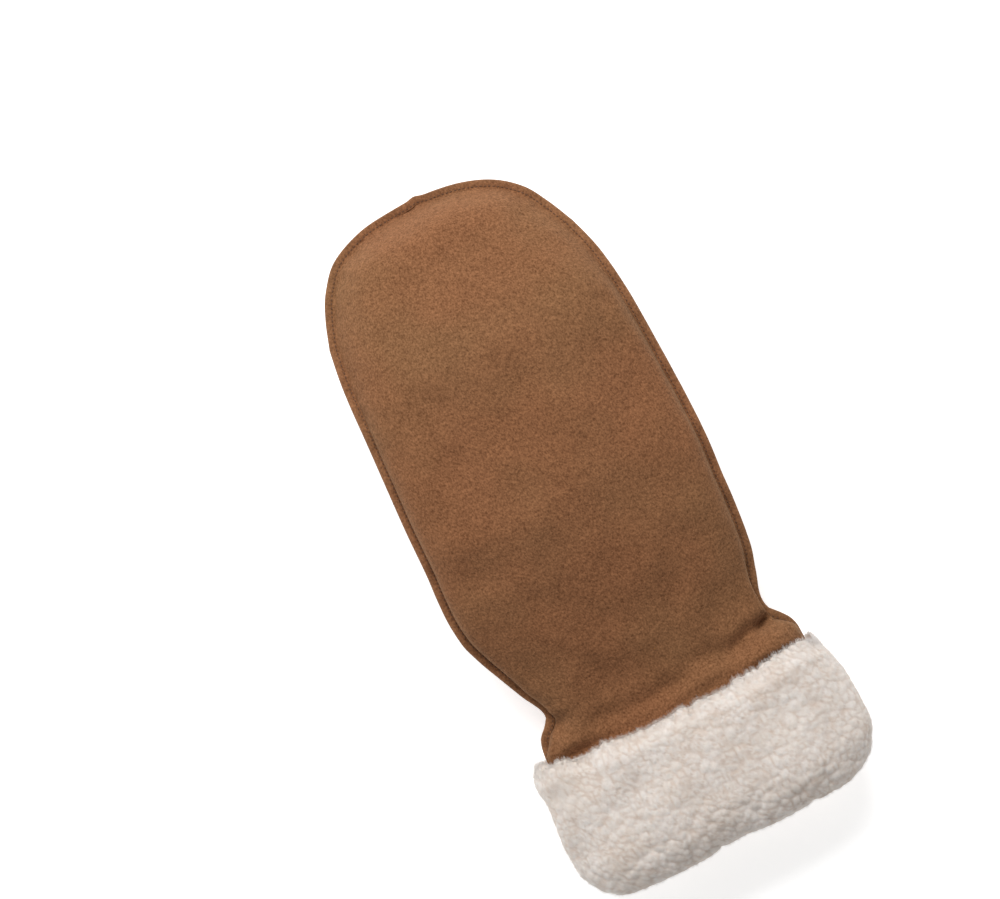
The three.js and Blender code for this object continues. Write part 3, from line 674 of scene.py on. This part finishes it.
def combine(piece, tool, operation):
    """Joins or cuts one closed mesh by another and leaves the tool out of the scene."""
    step = piece.modifiers.new("combine", "BOOLEAN")
    step.operation, step.solver, step.object = operation, "MANIFOLD", tool
    graph = bpy.context.evaluated_depsgraph_get()
    old, piece.data = piece.data, bpy.data.meshes.new_from_object(piece.evaluated_get(graph))
    piece.modifiers.clear()
    bpy.data.meshes.remove(old)
    bpy.data.objects.remove(tool)


back = make_piece("back_leather", *back_mesh[:3])
upper = make_piece("palm_upper_leather", *upper_mesh[:3])
combine(upper, make_piece("thumb_back", *thumb_mesh[:3]), "UNION")
combine(upper, palm_cutter(), "DIFFERENCE")


# Heel of the palm and the thumb's front, gathered into the wrist
def lower_right(y):
    crossing = column(CROSSING_EDGE, "y", "x", y)
    high = np.where(y < Y_FOLD_END, crossing, thumb_right(y))
    return np.where(y < y_crossing, hand_right(y), high)


def lower_left(y):
    return np.where(y < Y_CROTCH, hand_left(y), thumb_left(y))


# Where the heel's lip has gone under the other panel, and over what length: at the crotch, at the right
LIP_START = (1.5, 2.5)
LIP_LENGTH = (4.2, 3.0)


def lower_lip(x, y):
    """Level of the lip: the side seam's at first, then the underside of the panel above it."""
    side = seam_level(y) - SEAM_GAP / 2
    start = np.where(x < 0, Y_CROTCH + LIP_START[0], y_crossing + LIP_START[1])
    length = np.where(x < 0, *LIP_LENGTH)
    under = thumb_back(x, np.maximum(y, start), WALL, 0) - SEAM_GAP
    return mix(side, under, smooth(1 + (y - start) / length))


def lower_height(net, inset):
    lip = lower_lip(net["lip"][:, :1], net["lip"][:, 1:])
    crossing = (net["rise"] <= 0) & (net["x"] > 0) & (net["y"] < Y_FOLD_END - 2 * FLANGE)
    lip = np.where(crossing, np.maximum(lower_lip(net["x"], net["y"]), lip), lip) - WALL + inset
    floor = column(HEEL_VIEW, "up", "floor", hand_share(net["goal"][:, 1:])) * THUMB_THICKNESS
    return mix(lip, floor + inset, dome(net["rise"], PALM_ROUNDNESS))


# The cloth that folds at the wrist line, and the small pleats
Y_GATHER = Y_WRIST - 1.0
GATHER_STEP = 2.0
GATHER_X = np.arange(-52, 52.1, GATHER_STEP)
GATHER_Y = np.arange(Y_GATHER - 18, Y_GATHER + 52.1, GATHER_STEP)
GATHER_EXCESS = 0.26
GATHER_REACH = (24, 7)
GATHER_FRAMES = 24
GATHER_CAP = 3.4
CLOTH_UNIT = 10
PLEAT_PITCH = 8.2
PLEAT_DEPTH = 4.6
PLEAT_LENGTH = 17.0


def settle_gathers():
    """A cloth that grows beside the gathered wrist line buckles into folds. Gives its level over the grid."""
    gx, gy = np.meshgrid(GATHER_X, GATHER_Y)
    rows, columns = gx.shape
    up = gy - Y_GATHER
    excess = bell(up / np.where(up > 0, *GATHER_REACH))
    first = 0.5 * np.sin(gx / (1 + 0.012 * np.maximum(up, 0)) / 2.3 + 0.8 * np.sin(gy / 11.0))
    first += np.random.default_rng(71).normal(0, 0.2, gx.shape)
    start = np.stack([gx, gy, first], -1).reshape(-1, 3) / CLOTH_UNIT
    number = np.arange(rows * columns).reshape(rows, columns)
    quads = np.stack([number[:-1, :-1], number[:-1, 1:], number[1:, 1:], number[1:, :-1]], -1).reshape(-1, 4)
    mesh = bpy.data.meshes.new("gathers")
    mesh.from_pydata(start.tolist(), [], quads.tolist())
    cloth = add_object("gathers", mesh)
    pins = cloth.vertex_groups.new(name="pins")
    held = (np.abs(up) < 1.01) | (number < columns) | (np.abs(gx) > 51)
    pins.add(number[held].tolist(), 1.0, "REPLACE")
    narrow = cloth.vertex_groups.new(name="narrow")
    for row in range(rows):
        narrow.add(number[row].tolist(), float(1 - excess[row, 0]), "REPLACE")
    step = cloth.modifiers.new("cloth", "CLOTH")
    rules = step.settings
    rules.quality, rules.mass, rules.air_damping = 8, 0.3, 3
    rules.tension_stiffness = rules.compression_stiffness = 40
    rules.shear_stiffness, rules.bending_stiffness = 12, 4.0
    rules.vertex_group_mass, rules.vertex_group_shrink = "pins", "narrow"
    rules.shrink_min, rules.shrink_max = -GATHER_EXCESS, 0.0
    rules.effector_weights.gravity = 0
    step.collision_settings.use_self_collision = False
    step.point_cache.frame_start, step.point_cache.frame_end = 1, GATHER_FRAMES
    for frame_number in range(1, GATHER_FRAMES + 1):
        scene.frame_set(frame_number)
    settled = cloth.evaluated_get(bpy.context.evaluated_depsgraph_get()).to_mesh()
    places = np.empty(3 * len(settled.vertices))
    settled.vertices.foreach_get("co", places)
    bpy.data.objects.remove(cloth)
    scene.frame_set(1)
    level = np.nan_to_num(places.reshape(rows, columns, 3)[..., 2] * CLOTH_UNIT)
    level[1:-1, 1:-1] = 0.5 * level[1:-1, 1:-1] + 0.125 * (
        level[:-2, 1:-1] + level[2:, 1:-1] + level[1:-1, :-2] + level[1:-1, 2:]
    )
    return GATHER_CAP * np.tanh(level / GATHER_CAP) * smooth((54 - np.abs(gx)) / 8)


GATHERS = settle_gathers()


def pleats(x, y):
    """Folds of the palm that fan out from the gathered line at the wrist."""
    rows, columns = GATHERS.shape
    u = np.clip((x - GATHER_X[0]) / GATHER_STEP, 0, columns - 1.001)
    v = np.clip((y - GATHER_Y[0]) / GATHER_STEP, 0, rows - 1.001)
    left, below = u.astype(int), v.astype(int)
    s, t = u - left, v - below
    lower = mix(GATHERS[below, left], GATHERS[below, left + 1], s)
    folds = mix(lower, mix(GATHERS[below + 1, left], GATHERS[below + 1, left + 1], s), t)
    up = y - Y_GATHER
    across = x / (1 + 0.020 * np.maximum(up, 0)) + 1.6 * np.sin(y / 13.0) + 2.2 * wave(30, 71, x)
    small = 0.5 - 0.5 * np.cos(2 * np.pi * across / PLEAT_PITCH)
    reach = np.clip(0.6 + 0.4 * wave(5, 72, x / 9.0), 0.4, 1.2)
    small = PLEAT_DEPTH * reach * small**1.5 * smooth((up + 2.5) / 3) * np.exp(-np.maximum(up, 0) / PLEAT_LENGTH)
    crease = 1.9 * bell(up / 2.2)
    roll = -0.8 * bell((up + 4.5) / 2.6)
    return (0.65 * folds + small + crease + roll) * clear_of_cuff(y)


def lower_relief(net):
    x, y = net["x"], net["y"]
    rise = dome(net["rise"], PALM_ROUNDNESS)
    return sway(x, y) + pleats(x, y) * rise + flutter(net) * smooth((Y_CROTCH - 6 - y) / 8)


lower_levels = [levels(Y_TUBE_END, y_crossing), levels(y_crossing, Y_CROTCH)[1:], thumb_levels[1:]]
lower_shape = u_shape(np.concatenate(lower_levels), lower_left, lower_right, THUMB_TIP_EDGE)
lower_mesh = panel(lower_shape, flange_at, lower_height, lower_relief, 400, 0.3, down=True)
lower = make_piece("palm_lower_leather", *lower_mesh[:3])


# Stitches, as small rounded strands that lie in the pressed line
STITCH_PITCH = 1.75
STITCH_LENGTH = 1.15
STITCH_RADIUS = 0.25
STITCH_RINGS = ((-0.36, 0.75), (0, 1.0), (0.36, 0.75))
SEAM_END = 0.6
STITCHES_FROM = Y_CUFF + 4.5


def one_stitch(sides=6):
    """A strand along X with pointed ends."""
    points = [(-0.5 * STITCH_LENGTH, 0, 0)]
    for along, thick in STITCH_RINGS:
        radius = thick * STITCH_RADIUS
        for a in np.linspace(0, 2 * np.pi, sides, endpoint=False):
            points.append((along * STITCH_LENGTH, radius * math.cos(a), radius * math.sin(a)))
    points.append((0.5 * STITCH_LENGTH, 0, 0))
    beside = [(k, (k + 1) % sides) for k in range(sides)]
    faces = [(0, 1 + b, 1 + a) for a, b in beside]
    last = 1 + sides * (len(STITCH_RINGS) - 1)
    for start in range(1, last, sides):
        for a, b in beside:
            faces += [(start + a, start + b, start + b + sides), (start + a, start + b + sides, start + a + sides)]
    faces += [(last + a, last + b, last + sides) for a, b in beside]
    return np.array(points), np.array(faces)


def stitches(name, lines, sides):
    """Rows of stitches along the lines. sides are 1 for a line on top and -1 for one underneath."""
    template, faces = one_stitch()
    points, triangles, count = [], [], 0
    random = np.random.default_rng(7)
    for line, side in zip(lines, sides):
        run = run_along(line)
        places = np.arange(SEAM_END, run[-1] - SEAM_END, STITCH_PITCH)
        places += random.normal(0, 0.06, len(places))
        centre = at_runs(places, run, line)
        along = unit(at_runs(places + 0.5, run, line) - centre)
        sideways = unit(np.cross([0.0, 0.0, side], along))
        up = np.cross(along, sideways)
        along = along + 0.10 * sideways
        for c, a, s, u in zip(centre, along, sideways, up):
            points.append(c + 0.10 * u + template[:, :1] * a + template[:, 1:2] * s + template[:, 2:] * u)
            triangles.append(faces + count)
            count += len(template)
    return make_piece(name, np.concatenate(points), np.concatenate(triangles))


def shown(line):
    """The part of a seam line that the cuff doesn't cover."""
    return line[line[:, 1] > STITCHES_FROM]


back_stitches = stitches("back_stitches", [shown(back_mesh[3])], [1])
upper_line = upper_mesh[3]
on_palm = (upper_line[:, 1] > Y_CROTCH + 3) | ((upper_line[:, 0] > 0) & (upper_line[:, 1] > y_crossing + 2))
palm_stitches = stitches("palm_stitches", [upper_line[on_palm], shown(lower_mesh[3])], [-1, -1])


# Fleece cuff, and the leather tube that it sits on
tube = {
    "x": hand_middle(Y_SLOT),
    "seam": seam_level(Y_SLOT),
    "half": (hand_right(Y_SLOT) - hand_left(Y_SLOT)) / 2,
    "above": crown_level(Y_SLOT) - seam_level(Y_SLOT),
    "below": seam_level(Y_SLOT) - column(HEEL_VIEW, "up", "floor", -1) * THUMB_THICKNESS,
}


def stations(angles):
    """Points round the leather tube at the given angles from its left seam: outside and inside, as shares."""
    lip = flange_at(Y_SLOT)
    turn = np.mod(angles, 2 * np.pi)
    upward = np.where(turn < np.pi, 1.0, -1.0)
    sideways = np.where(np.cos(turn) > 0, -1.0, 1.0)
    share = 1 - np.abs(np.cos(turn))
    tall = np.where(upward > 0, tube["above"], tube["below"])
    roundness = np.where(upward > 0, BACK_ROUNDNESS, PALM_ROUNDNESS)
    rise = dome(share, roundness)

    def point(foot):
        across = sideways * (1 - mix(lip / tube["half"], 1, share))
        return across, upward * mix(foot / tall, 1, rise)

    return {"outer": point(SEAM_GAP / 2 + WALL), "inner": point(SEAM_GAP / 2), "tall": tall}


def cuff_ring(down, out, ring):
    """One ring of the cuff at a point of its section, where the ring's stations lie."""
    outside = out >= 0
    share = abs(out)
    shift = SLOT_GAP if outside else -WALL - SLOT_GAP
    width, thickness = (CUFF_WIDTH, CUFF_THICKNESS) if outside else (MOUTH_WIDTH, MOUTH_THICKNESS)
    across, up = ring["outer"] if outside else ring["inner"]
    half = mix(tube["half"] + shift, width / 2, share)
    tall = mix(ring["tall"] + shift, thickness / 2, share)
    rise = MOUTH_RISE * np.abs(across) ** 5 * smooth((down - 0.45) / 0.5)
    x = mix(tube["x"], 0, share) + across * half
    y = Y_CUFF - down * CUFF_LENGTH + rise
    z = mix(tube["seam"], CUFF_THICKNESS / 2 - CUFF_PRESS, share) + up * tall
    return np.stack([x, y, z], -1)


def even_angles(count):
    """Angles whose stations are evenly spread round the full pile."""
    angles = np.linspace(0, 2 * np.pi, 4001)
    run = run_along(cuff_ring(0.5, 1.0, stations(angles)))
    return np.interp(np.linspace(0, run[-1], count, endpoint=False), run, angles)


# FULLEST is where along the section the cuff is fullest, SLOT_SINK how far the slot's rings move to the mouth
PILE_STEP = 0.8
GIRTH = 318
SAMPLES = 900
OUTER_SHARE = 13.5 / 20
SLOT_RINGS = 6
FULLEST = 35
SLOT_SINK = 2.2

# The cuff's skin in even steps along its section, with plain rings in the slot for the leather
ring = stations(even_angles(int(GIRTH / PILE_STEP)))
section = np.stack([cuff_ring(d, o, ring) for d, o in zip(CUFF_SECTION["down"], CUFF_SECTION["out"])])
fine = spline(section, SAMPLES)
run = np.concatenate([[0], np.cumsum(np.linalg.norm(np.diff(fine, axis=0), axis=2).mean(1))])
outer_end = run[int(SAMPLES * OUTER_SHARE)]
marks_along = np.concatenate(
    [np.arange(0, outer_end, PILE_STEP * 0.95), np.arange(outer_end, run[-1], PILE_STEP * 1.6), [run[-1]]]
)
pick = np.interp(marks_along, run, np.arange(SAMPLES))
low = np.minimum(pick.astype(int), SAMPLES - 2)
skin = fine[low] + (fine[low + 1] - fine[low]) * (pick - low)[:, None, None]
slot_end = SLOT_DEPTH / CUFF_LENGTH
slot_rings = np.stack([cuff_ring(d, 0.0, ring) for d in np.linspace(slot_end, 0.01, SLOT_RINGS)])
inside_rings = np.stack([cuff_ring(d, -1e-6, ring) for d in np.linspace(0.01, slot_end, SLOT_RINGS)])
base = np.concatenate([slot_rings, skin, inside_rings])
plain = np.zeros(SLOT_RINGS)
piled = np.concatenate([plain, np.ones(len(skin)), plain])
along_section = np.concatenate([plain, marks_along, np.full(SLOT_RINGS, marks_along[-1])])

# The same, in even steps round the cuff, with its border and fold shifted
closed = np.concatenate([base, base[:, :1]], 1)
centre_ring = int(np.argmin(np.abs(marks_along - FULLEST))) + SLOT_RINGS
run_round = run_along(closed[centre_ring])
places = np.linspace(0, run_round[-1], int(run_round[-1] / PILE_STEP), endpoint=False)
k = np.searchsorted(run_round, places, "right") - 1
base = closed[:, k] + (closed[:, k + 1] - closed[:, k]) * ((places - run_round[k]) / np.diff(run_round)[k])[:, None]
near_border = smooth((base[..., 1] - Y_CUFF + 15) / 12)
near_fold = smooth((Y_MOUTH + 32 - base[..., 1]) / 28)
base[..., 1] += column(FLEECE_PUSH, "x", "border", base[..., 0]) * near_border
base[:SLOT_RINGS, :, 1] -= SLOT_SINK * near_border[:SLOT_RINGS]
base[..., 1] += column(FLEECE_PUSH, "x", "fold", base[..., 0]) * near_fold
step_round = np.roll(base, -1, 1) - np.roll(base, 1, 1)
step_along = np.roll(base, -1, 0) - np.roll(base, 1, 0)
normal = np.cross(step_round, step_along)
normal /= np.maximum(np.linalg.norm(normal, axis=2, keepdims=True), 1e-9)
if np.mean(np.einsum("ij,ij->i", normal[centre_ring], base[centre_ring] - base[centre_ring].mean(0))) < 0:
    normal = -normal


def round_cuff(values):
    """The same value at all the points of a ring."""
    return np.repeat(values, base.shape[1])


flat = base.reshape(-1, 3)
amount = round_cuff(piled * smooth(along_section / 1.6))
border = round_cuff(piled * smooth(along_section / 1.2) * smooth((8 - along_section) / 7))
inner_part = round_cuff(smooth((along_section - outer_end) / 12))
rim = round_cuff(smooth((along_section - 42) / 12))


def curls(points, pitch, seed, warp):
    """Curls of the pile, pitch apart: their height at each point, the creases between them and their middles."""
    random = np.random.default_rng(seed)
    shifted = points + warp * np.stack([ripple(points, 2.6 * pitch, seed + k) for k in range(3)], -1)
    count = int(len(shifted) * (PILE_STEP**2) / (0.75 * pitch**2))
    middles = shifted[random.choice(len(shifted), count, replace=False)]
    tree = kdtree.KDTree(count)
    for k, place in enumerate(middles):
        tree.insert(place, k)
    tree.balance()
    size = len(shifted)
    which, near, second = np.empty(size, int), np.empty(size), np.empty(size)
    for k, place in enumerate(shifted):
        (_, which[k], near[k]), (_, _, second[k]) = tree.find_n(place, 2)
    crease = bell((second - near) / (0.17 * pitch))
    return 1 - np.clip(near / (0.85 * pitch), 0, 1) ** 2, crease, middles[which]


big_bump, big_crease, _ = curls(flat, 9.0, 21, 1.6)
mid_bump, mid_crease, curl_centre = curls(flat, 3.6, 22, 0.35)
small_bump, small_crease, _ = curls(flat, 2.1, 23, 0.3)
lift = (
    (0.25 + 0.5 * rim) * (big_bump - 0.6)
    + (0.42 + 0.4 * rim) * (mid_bump - 0.55)
    + 0.10 * (small_bump - 0.55)
    - 0.10 * mid_crease
    + 0.55 * ripple(flat, 24, 24)
)
lift *= amount * (1 - 0.45 * inner_part)
cuff_points = flat + lift[:, None] * normal.reshape(-1, 3)
fringe = 1.9 * mid_bump + 0.5 * big_bump + 1.3 * small_bump + 0.8 * ripple(flat, 17, 29) - 1.4
cuff_points[:, 1] += border * np.maximum(fringe, 0.9)
cuff_points[:, 2] = np.maximum(cuff_points[:, 2], 0.02)
rows, width = base.shape[:2]
number = np.arange(rows * width).reshape(rows, width)
following, beside = np.roll(number, -1, 0), np.roll(number, -1, 1)
quads = np.stack([number, following, np.roll(following, -1, 1), beside], -1)
# painted shade: the crease mark darkens and tans the fleece's colour in the creases between the curls
crease = np.clip(mid_crease * (0.45 + 0.55 * big_crease) + 0.12 * small_crease, 0, 1) * amount
cuff_marks = {"crease": crease, "inner": inner_part}
cuff = make_piece("cuff_fleece", cuff_points, outward(cuff_points, split_quads([quads])), cuff_marks)

FIBRES = 48000
FIBRE_LENGTH = 1.3
FIBRE_RADIUS = 0.045


def pile(count, seed):
    """Slender fibres rooted on the fleece, which lean towards the middle of their curl."""
    random = np.random.default_rng(seed)
    share = amount * (1 - 0.75 * inner_part) * (1 + 5 * border)
    share /= share.sum()
    root = random.choice(len(cuff_points), count, p=share)
    place = cuff_points[root] + random.normal(0, 0.3, (count, 3))
    out = normal.reshape(-1, 3)[root]
    curl = curl_centre[root] - flat[root]
    curl -= (curl * out).sum(1, keepdims=True) * out
    wild = random.normal(size=(count, 3))
    wild -= (wild * out).sum(1, keepdims=True) * out
    way = 1.1 * out + 0.12 * curl + 0.45 * unit(wild)
    way[:, 1] += 1.1 * border[root]
    way = unit(way)
    length = FIBRE_LENGTH * (random.uniform(0.5, 1.2, count) * (1 + 0.5 * border[root]))[:, None]
    place -= 0.35 * out
    side = unit(np.cross(way, random.normal(size=(count, 3))))
    other = np.cross(way, side)
    corners = [place + FIBRE_RADIUS * (math.cos(a) * side + math.sin(a) * other) for a in (0, 2.1, 4.2)]
    points = np.stack([*corners, place + length * way], 1)
    points[..., 2] = np.maximum(points[..., 2], 0.01)
    faces = np.array([(0, 2, 1), (0, 1, 3), (1, 2, 3), (2, 0, 3)])
    triangles = (4 * np.arange(count)[:, None, None] + faces).reshape(-1, 3)
    # the fibres carry a weaker share of the painted crease shade from where they root
    marks = {"crease": np.repeat(crease[root] * 0.3, 4), "inner": np.repeat(inner_part[root], 4)}
    return points.reshape(-1, 3), triangles, marks


tufts = [make_piece(f"pile_{k + 1}", *pile(FIBRES, 60 + k)) for k in range(2)]


# Materials
def put(socket, value):
    """Links the socket to another node's output, or gives it a value of its own."""
    if isinstance(value, bpy.types.NodeSocket):
        socket.id_data.links.new(value, socket)
    else:
        socket.default_value = (*value, 1) if socket.type == "RGBA" else value


def fill(made, **inputs):
    """Puts values into a node's inputs by their names, with _ for a space."""
    for key, value in inputs.items():
        put(made.inputs[key.replace("_", " ")], value)
    return made


def node(tree, kind, output, **inputs):
    """Adds a node and gives its output."""
    return fill(tree.nodes.new(kind), **inputs).outputs[output]


def material(name, base, rough, sheen, tint):
    made = bpy.data.materials.new(name)
    made.use_nodes = True
    shader = made.node_tree.nodes["Principled BSDF"]
    fill(shader, Base_Color=base, Roughness=rough, Specular_IOR_Level=0.12)
    fill(shader, Sheen_Weight=sheen, Sheen_Roughness=0.45, Sheen_Tint=tint)
    place = node(made.node_tree, "ShaderNodeTexCoord", "Object")
    return made, made.node_tree, shader, place


def noise(tree, place, scale, detail, rough):
    return node(tree, "ShaderNodeTexNoise", "Fac", Vector=place, Scale=scale, Detail=detail, Roughness=rough)


def stretch(tree, place, across, along, turn):
    """Places stretched in plan and turned about the vertical."""
    size = (across, along, 1.0)
    return node(tree, "ShaderNodeMapping", "Vector", Vector=place, Scale=size, Rotation=(0, 0, turn))


def spread_out(tree, value, low, high, top=1.0):
    """Spreads the values from low to high over 0 to top."""
    kind, ends = "ShaderNodeMapRange", {"From_Min": low, "From_Max": high, "To_Min": 0.0, "To_Max": top}
    return node(tree, kind, "Result", Value=value, **ends)


def blend(tree, amount, first, second):
    """Colour between two, which are colours or sockets."""
    made = tree.nodes.new("ShaderNodeMix")
    made.data_type = "RGBA"
    for number, value in ((0, amount), (6, first), (7, second)):
        put(made.inputs[number], value)
    return made.outputs[2]


def calc(tree, operation, *values):
    made = tree.nodes.new("ShaderNodeMath")
    made.operation = operation
    for socket, value in zip(made.inputs, values):
        put(socket, value)
    return made.outputs[0]


def attribute(tree, name, share):
    """A value kept at the mesh's points, times a share."""
    made = tree.nodes.new("ShaderNodeAttribute")
    made.attribute_name = name
    return calc(tree, "MULTIPLY", made.outputs["Fac"], share)


def bump(tree, shader, layers):
    """Stacks bumps, each given as its height, strength and distance in metres."""
    below = {}
    for height, strength, distance in layers:
        layer = {"Height": height, "Strength": strength, "Distance": distance}
        below = {"Normal": node(tree, "ShaderNodeBump", "Normal", **layer, **below)}
    fill(shader, **below)


def suede():
    made, tree, shader, place = material("suede", (0.22, 0.095, 0.042), 0.95, 0.29, (0.62, 0.47, 0.30))
    nap = noise(tree, stretch(tree, place, 1.0, 0.7, 0.5), 1500, 3, 0.6)
    tufted = noise(tree, stretch(tree, place, 0.8, 1.1, -0.4), 760, 2, 0.5)
    brushed = noise(tree, stretch(tree, place, 1.0, 0.7, 0.35), 75, 4, 0.6)
    cloud = noise(tree, place, 22, 2, 0.5)
    value = 0.0
    for height, share in ((nap, 0.62), (tufted, 0.29), (brushed, 0.055), (cloud, 0.035)):
        value = calc(tree, "MULTIPLY_ADD", spread_out(tree, height, 0.3, 0.7), share, value)
    olive = spread_out(tree, noise(tree, place, 19, 2, 0.5), 0.42, 0.70)
    dark = blend(tree, olive, (0.085, 0.0303, 0.0114), (0.081, 0.0327, 0.0123))
    bright = blend(tree, olive, (0.332, 0.1485, 0.068), (0.320, 0.156, 0.0715))
    colour = blend(tree, value, dark, bright)
    # painted shade: the suede darkens a little in the pressed stitch groove
    colour = blend(tree, attribute(tree, "groove", 0.10), colour, (0.075, 0.032, 0.016))
    colour = blend(tree, attribute(tree, "raw", 0.35), colour, (0.36, 0.21, 0.12))
    fill(shader, Base_Color=colour)
    bump(tree, shader, [(tufted, 0.6, 0.0003), (nap, 0.9, 0.00028)])
    return made


def thread():
    made, tree, shader, place = material("thread", (0.10, 0.05, 0.03), 0.7, 0.1, (0.6, 0.5, 0.4))
    twist = noise(tree, place, 2600, 2, 0.55)
    fill(shader, Base_Color=blend(tree, twist, (0.075, 0.035, 0.020), (0.17, 0.085, 0.05)))
    bump(tree, shader, [(twist, 0.5, 0.0001)])
    return made


def fleece():
    made, tree, shader, place = material("fleece", (0.80, 0.745, 0.69), 0.95, 0.12, (1.0, 0.97, 0.93))
    fill(shader, Subsurface_Weight=0.5, Subsurface_Radius=(1.0, 0.85, 0.72), Subsurface_Scale=0.0022)
    fluff = noise(tree, place, 900, 4, 0.65)
    cloud = spread_out(tree, noise(tree, place, 60, 3, 0.5), 0.42, 0.75, 0.55)
    colour = blend(tree, spread_out(tree, fluff, 0.3, 0.7), (0.69, 0.637, 0.592), (0.765, 0.717, 0.674))
    colour = blend(tree, cloud, colour, (0.655, 0.58, 0.51))
    # painted shade: darker tan in the creases between the curls
    colour = blend(tree, attribute(tree, "crease", 0.50), colour, (0.53, 0.39, 0.295))
    fill(shader, Base_Color=colour)
    bump(tree, shader, [(fluff, 0.25, 0.0002)])
    return made


leather, yarn, wool = suede(), thread(), fleece()
panels = ((back, "back_panel"), (upper, "palm_upper"), (lower, "palm_lower"))
dressed = [(*pair, "suede", leather) for pair in panels] + [(cuff, "cuff", "fleece", wool)]
dressed += [(piece, None, "suede", yarn) for piece in (back_stitches, palm_stitches)]
dressed += [(piece, None, "fleece", wool) for piece in tufts]
for piece, node_name, slot, finish in dressed:
    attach(piece, "root")
    if node_name:
        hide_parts(node_name)
    piece.data.materials.clear()
    piece.data.materials.append(finish)

# Floor, light and camera, in metres
FLOOR_HALF = 3
FLOOR_LEVEL = -0.0002
floor_mesh = bpy.data.meshes.new("floor")
floor_corners = [(x * FLOOR_HALF, y * FLOOR_HALF, FLOOR_LEVEL) for x, y in ((-1, -1), (1, -1), (1, 1), (-1, 1))]
floor_mesh.from_pydata(floor_corners, [], [(0, 1, 2, 3)])
floor = add_object("floor", floor_mesh)
paper, _, floor_shader, _ = material("paper", (0.93, 0.93, 0.93), 0.9, 0.0, (1, 1, 1))
fill(floor_shader, Emission_Color=(1, 1, 1), Emission_Strength=0.56)
floor_mesh.materials.append(paper)

world = bpy.data.worlds.new("studio")
world.use_nodes = True
fill(world.node_tree.nodes["Background"], Color=(1.0, 0.995, 0.99), Strength=0.36)
scene.world = world

LAMP_PLACE = (0.04, 1.12, 1.25)
LAMP_AIM = (0.0, 0.0, 0.02)
LAMP_SIZE = (1.4, 0.9)
LAMP_POWER = 31.6
light = bpy.data.lights.new("key", "AREA")
light.shape, light.energy = "RECTANGLE", LAMP_POWER
light.size, light.size_y = LAMP_SIZE
lamp = add_object("key", light)
lamp.location = LAMP_PLACE
towards = np.array(LAMP_AIM) - np.array(LAMP_PLACE)
pitch = math.acos(-towards[2] / np.linalg.norm(towards))
lamp.rotation_euler = (pitch, 0, math.atan2(towards[1], towards[0]) - math.pi / 2)

optics = bpy.data.cameras.new("camera")
optics.lens, optics.sensor_width, optics.clip_start = 132, 36, 0.05
camera = add_object("camera", optics)
camera.location = (-0.0132, 0.0400, 1.497)
camera.rotation_euler = (0, 0, math.radians(-28.3))
scene.camera = camera
scene.view_settings.view_transform = "Standard"
scene.view_settings.look = "None"
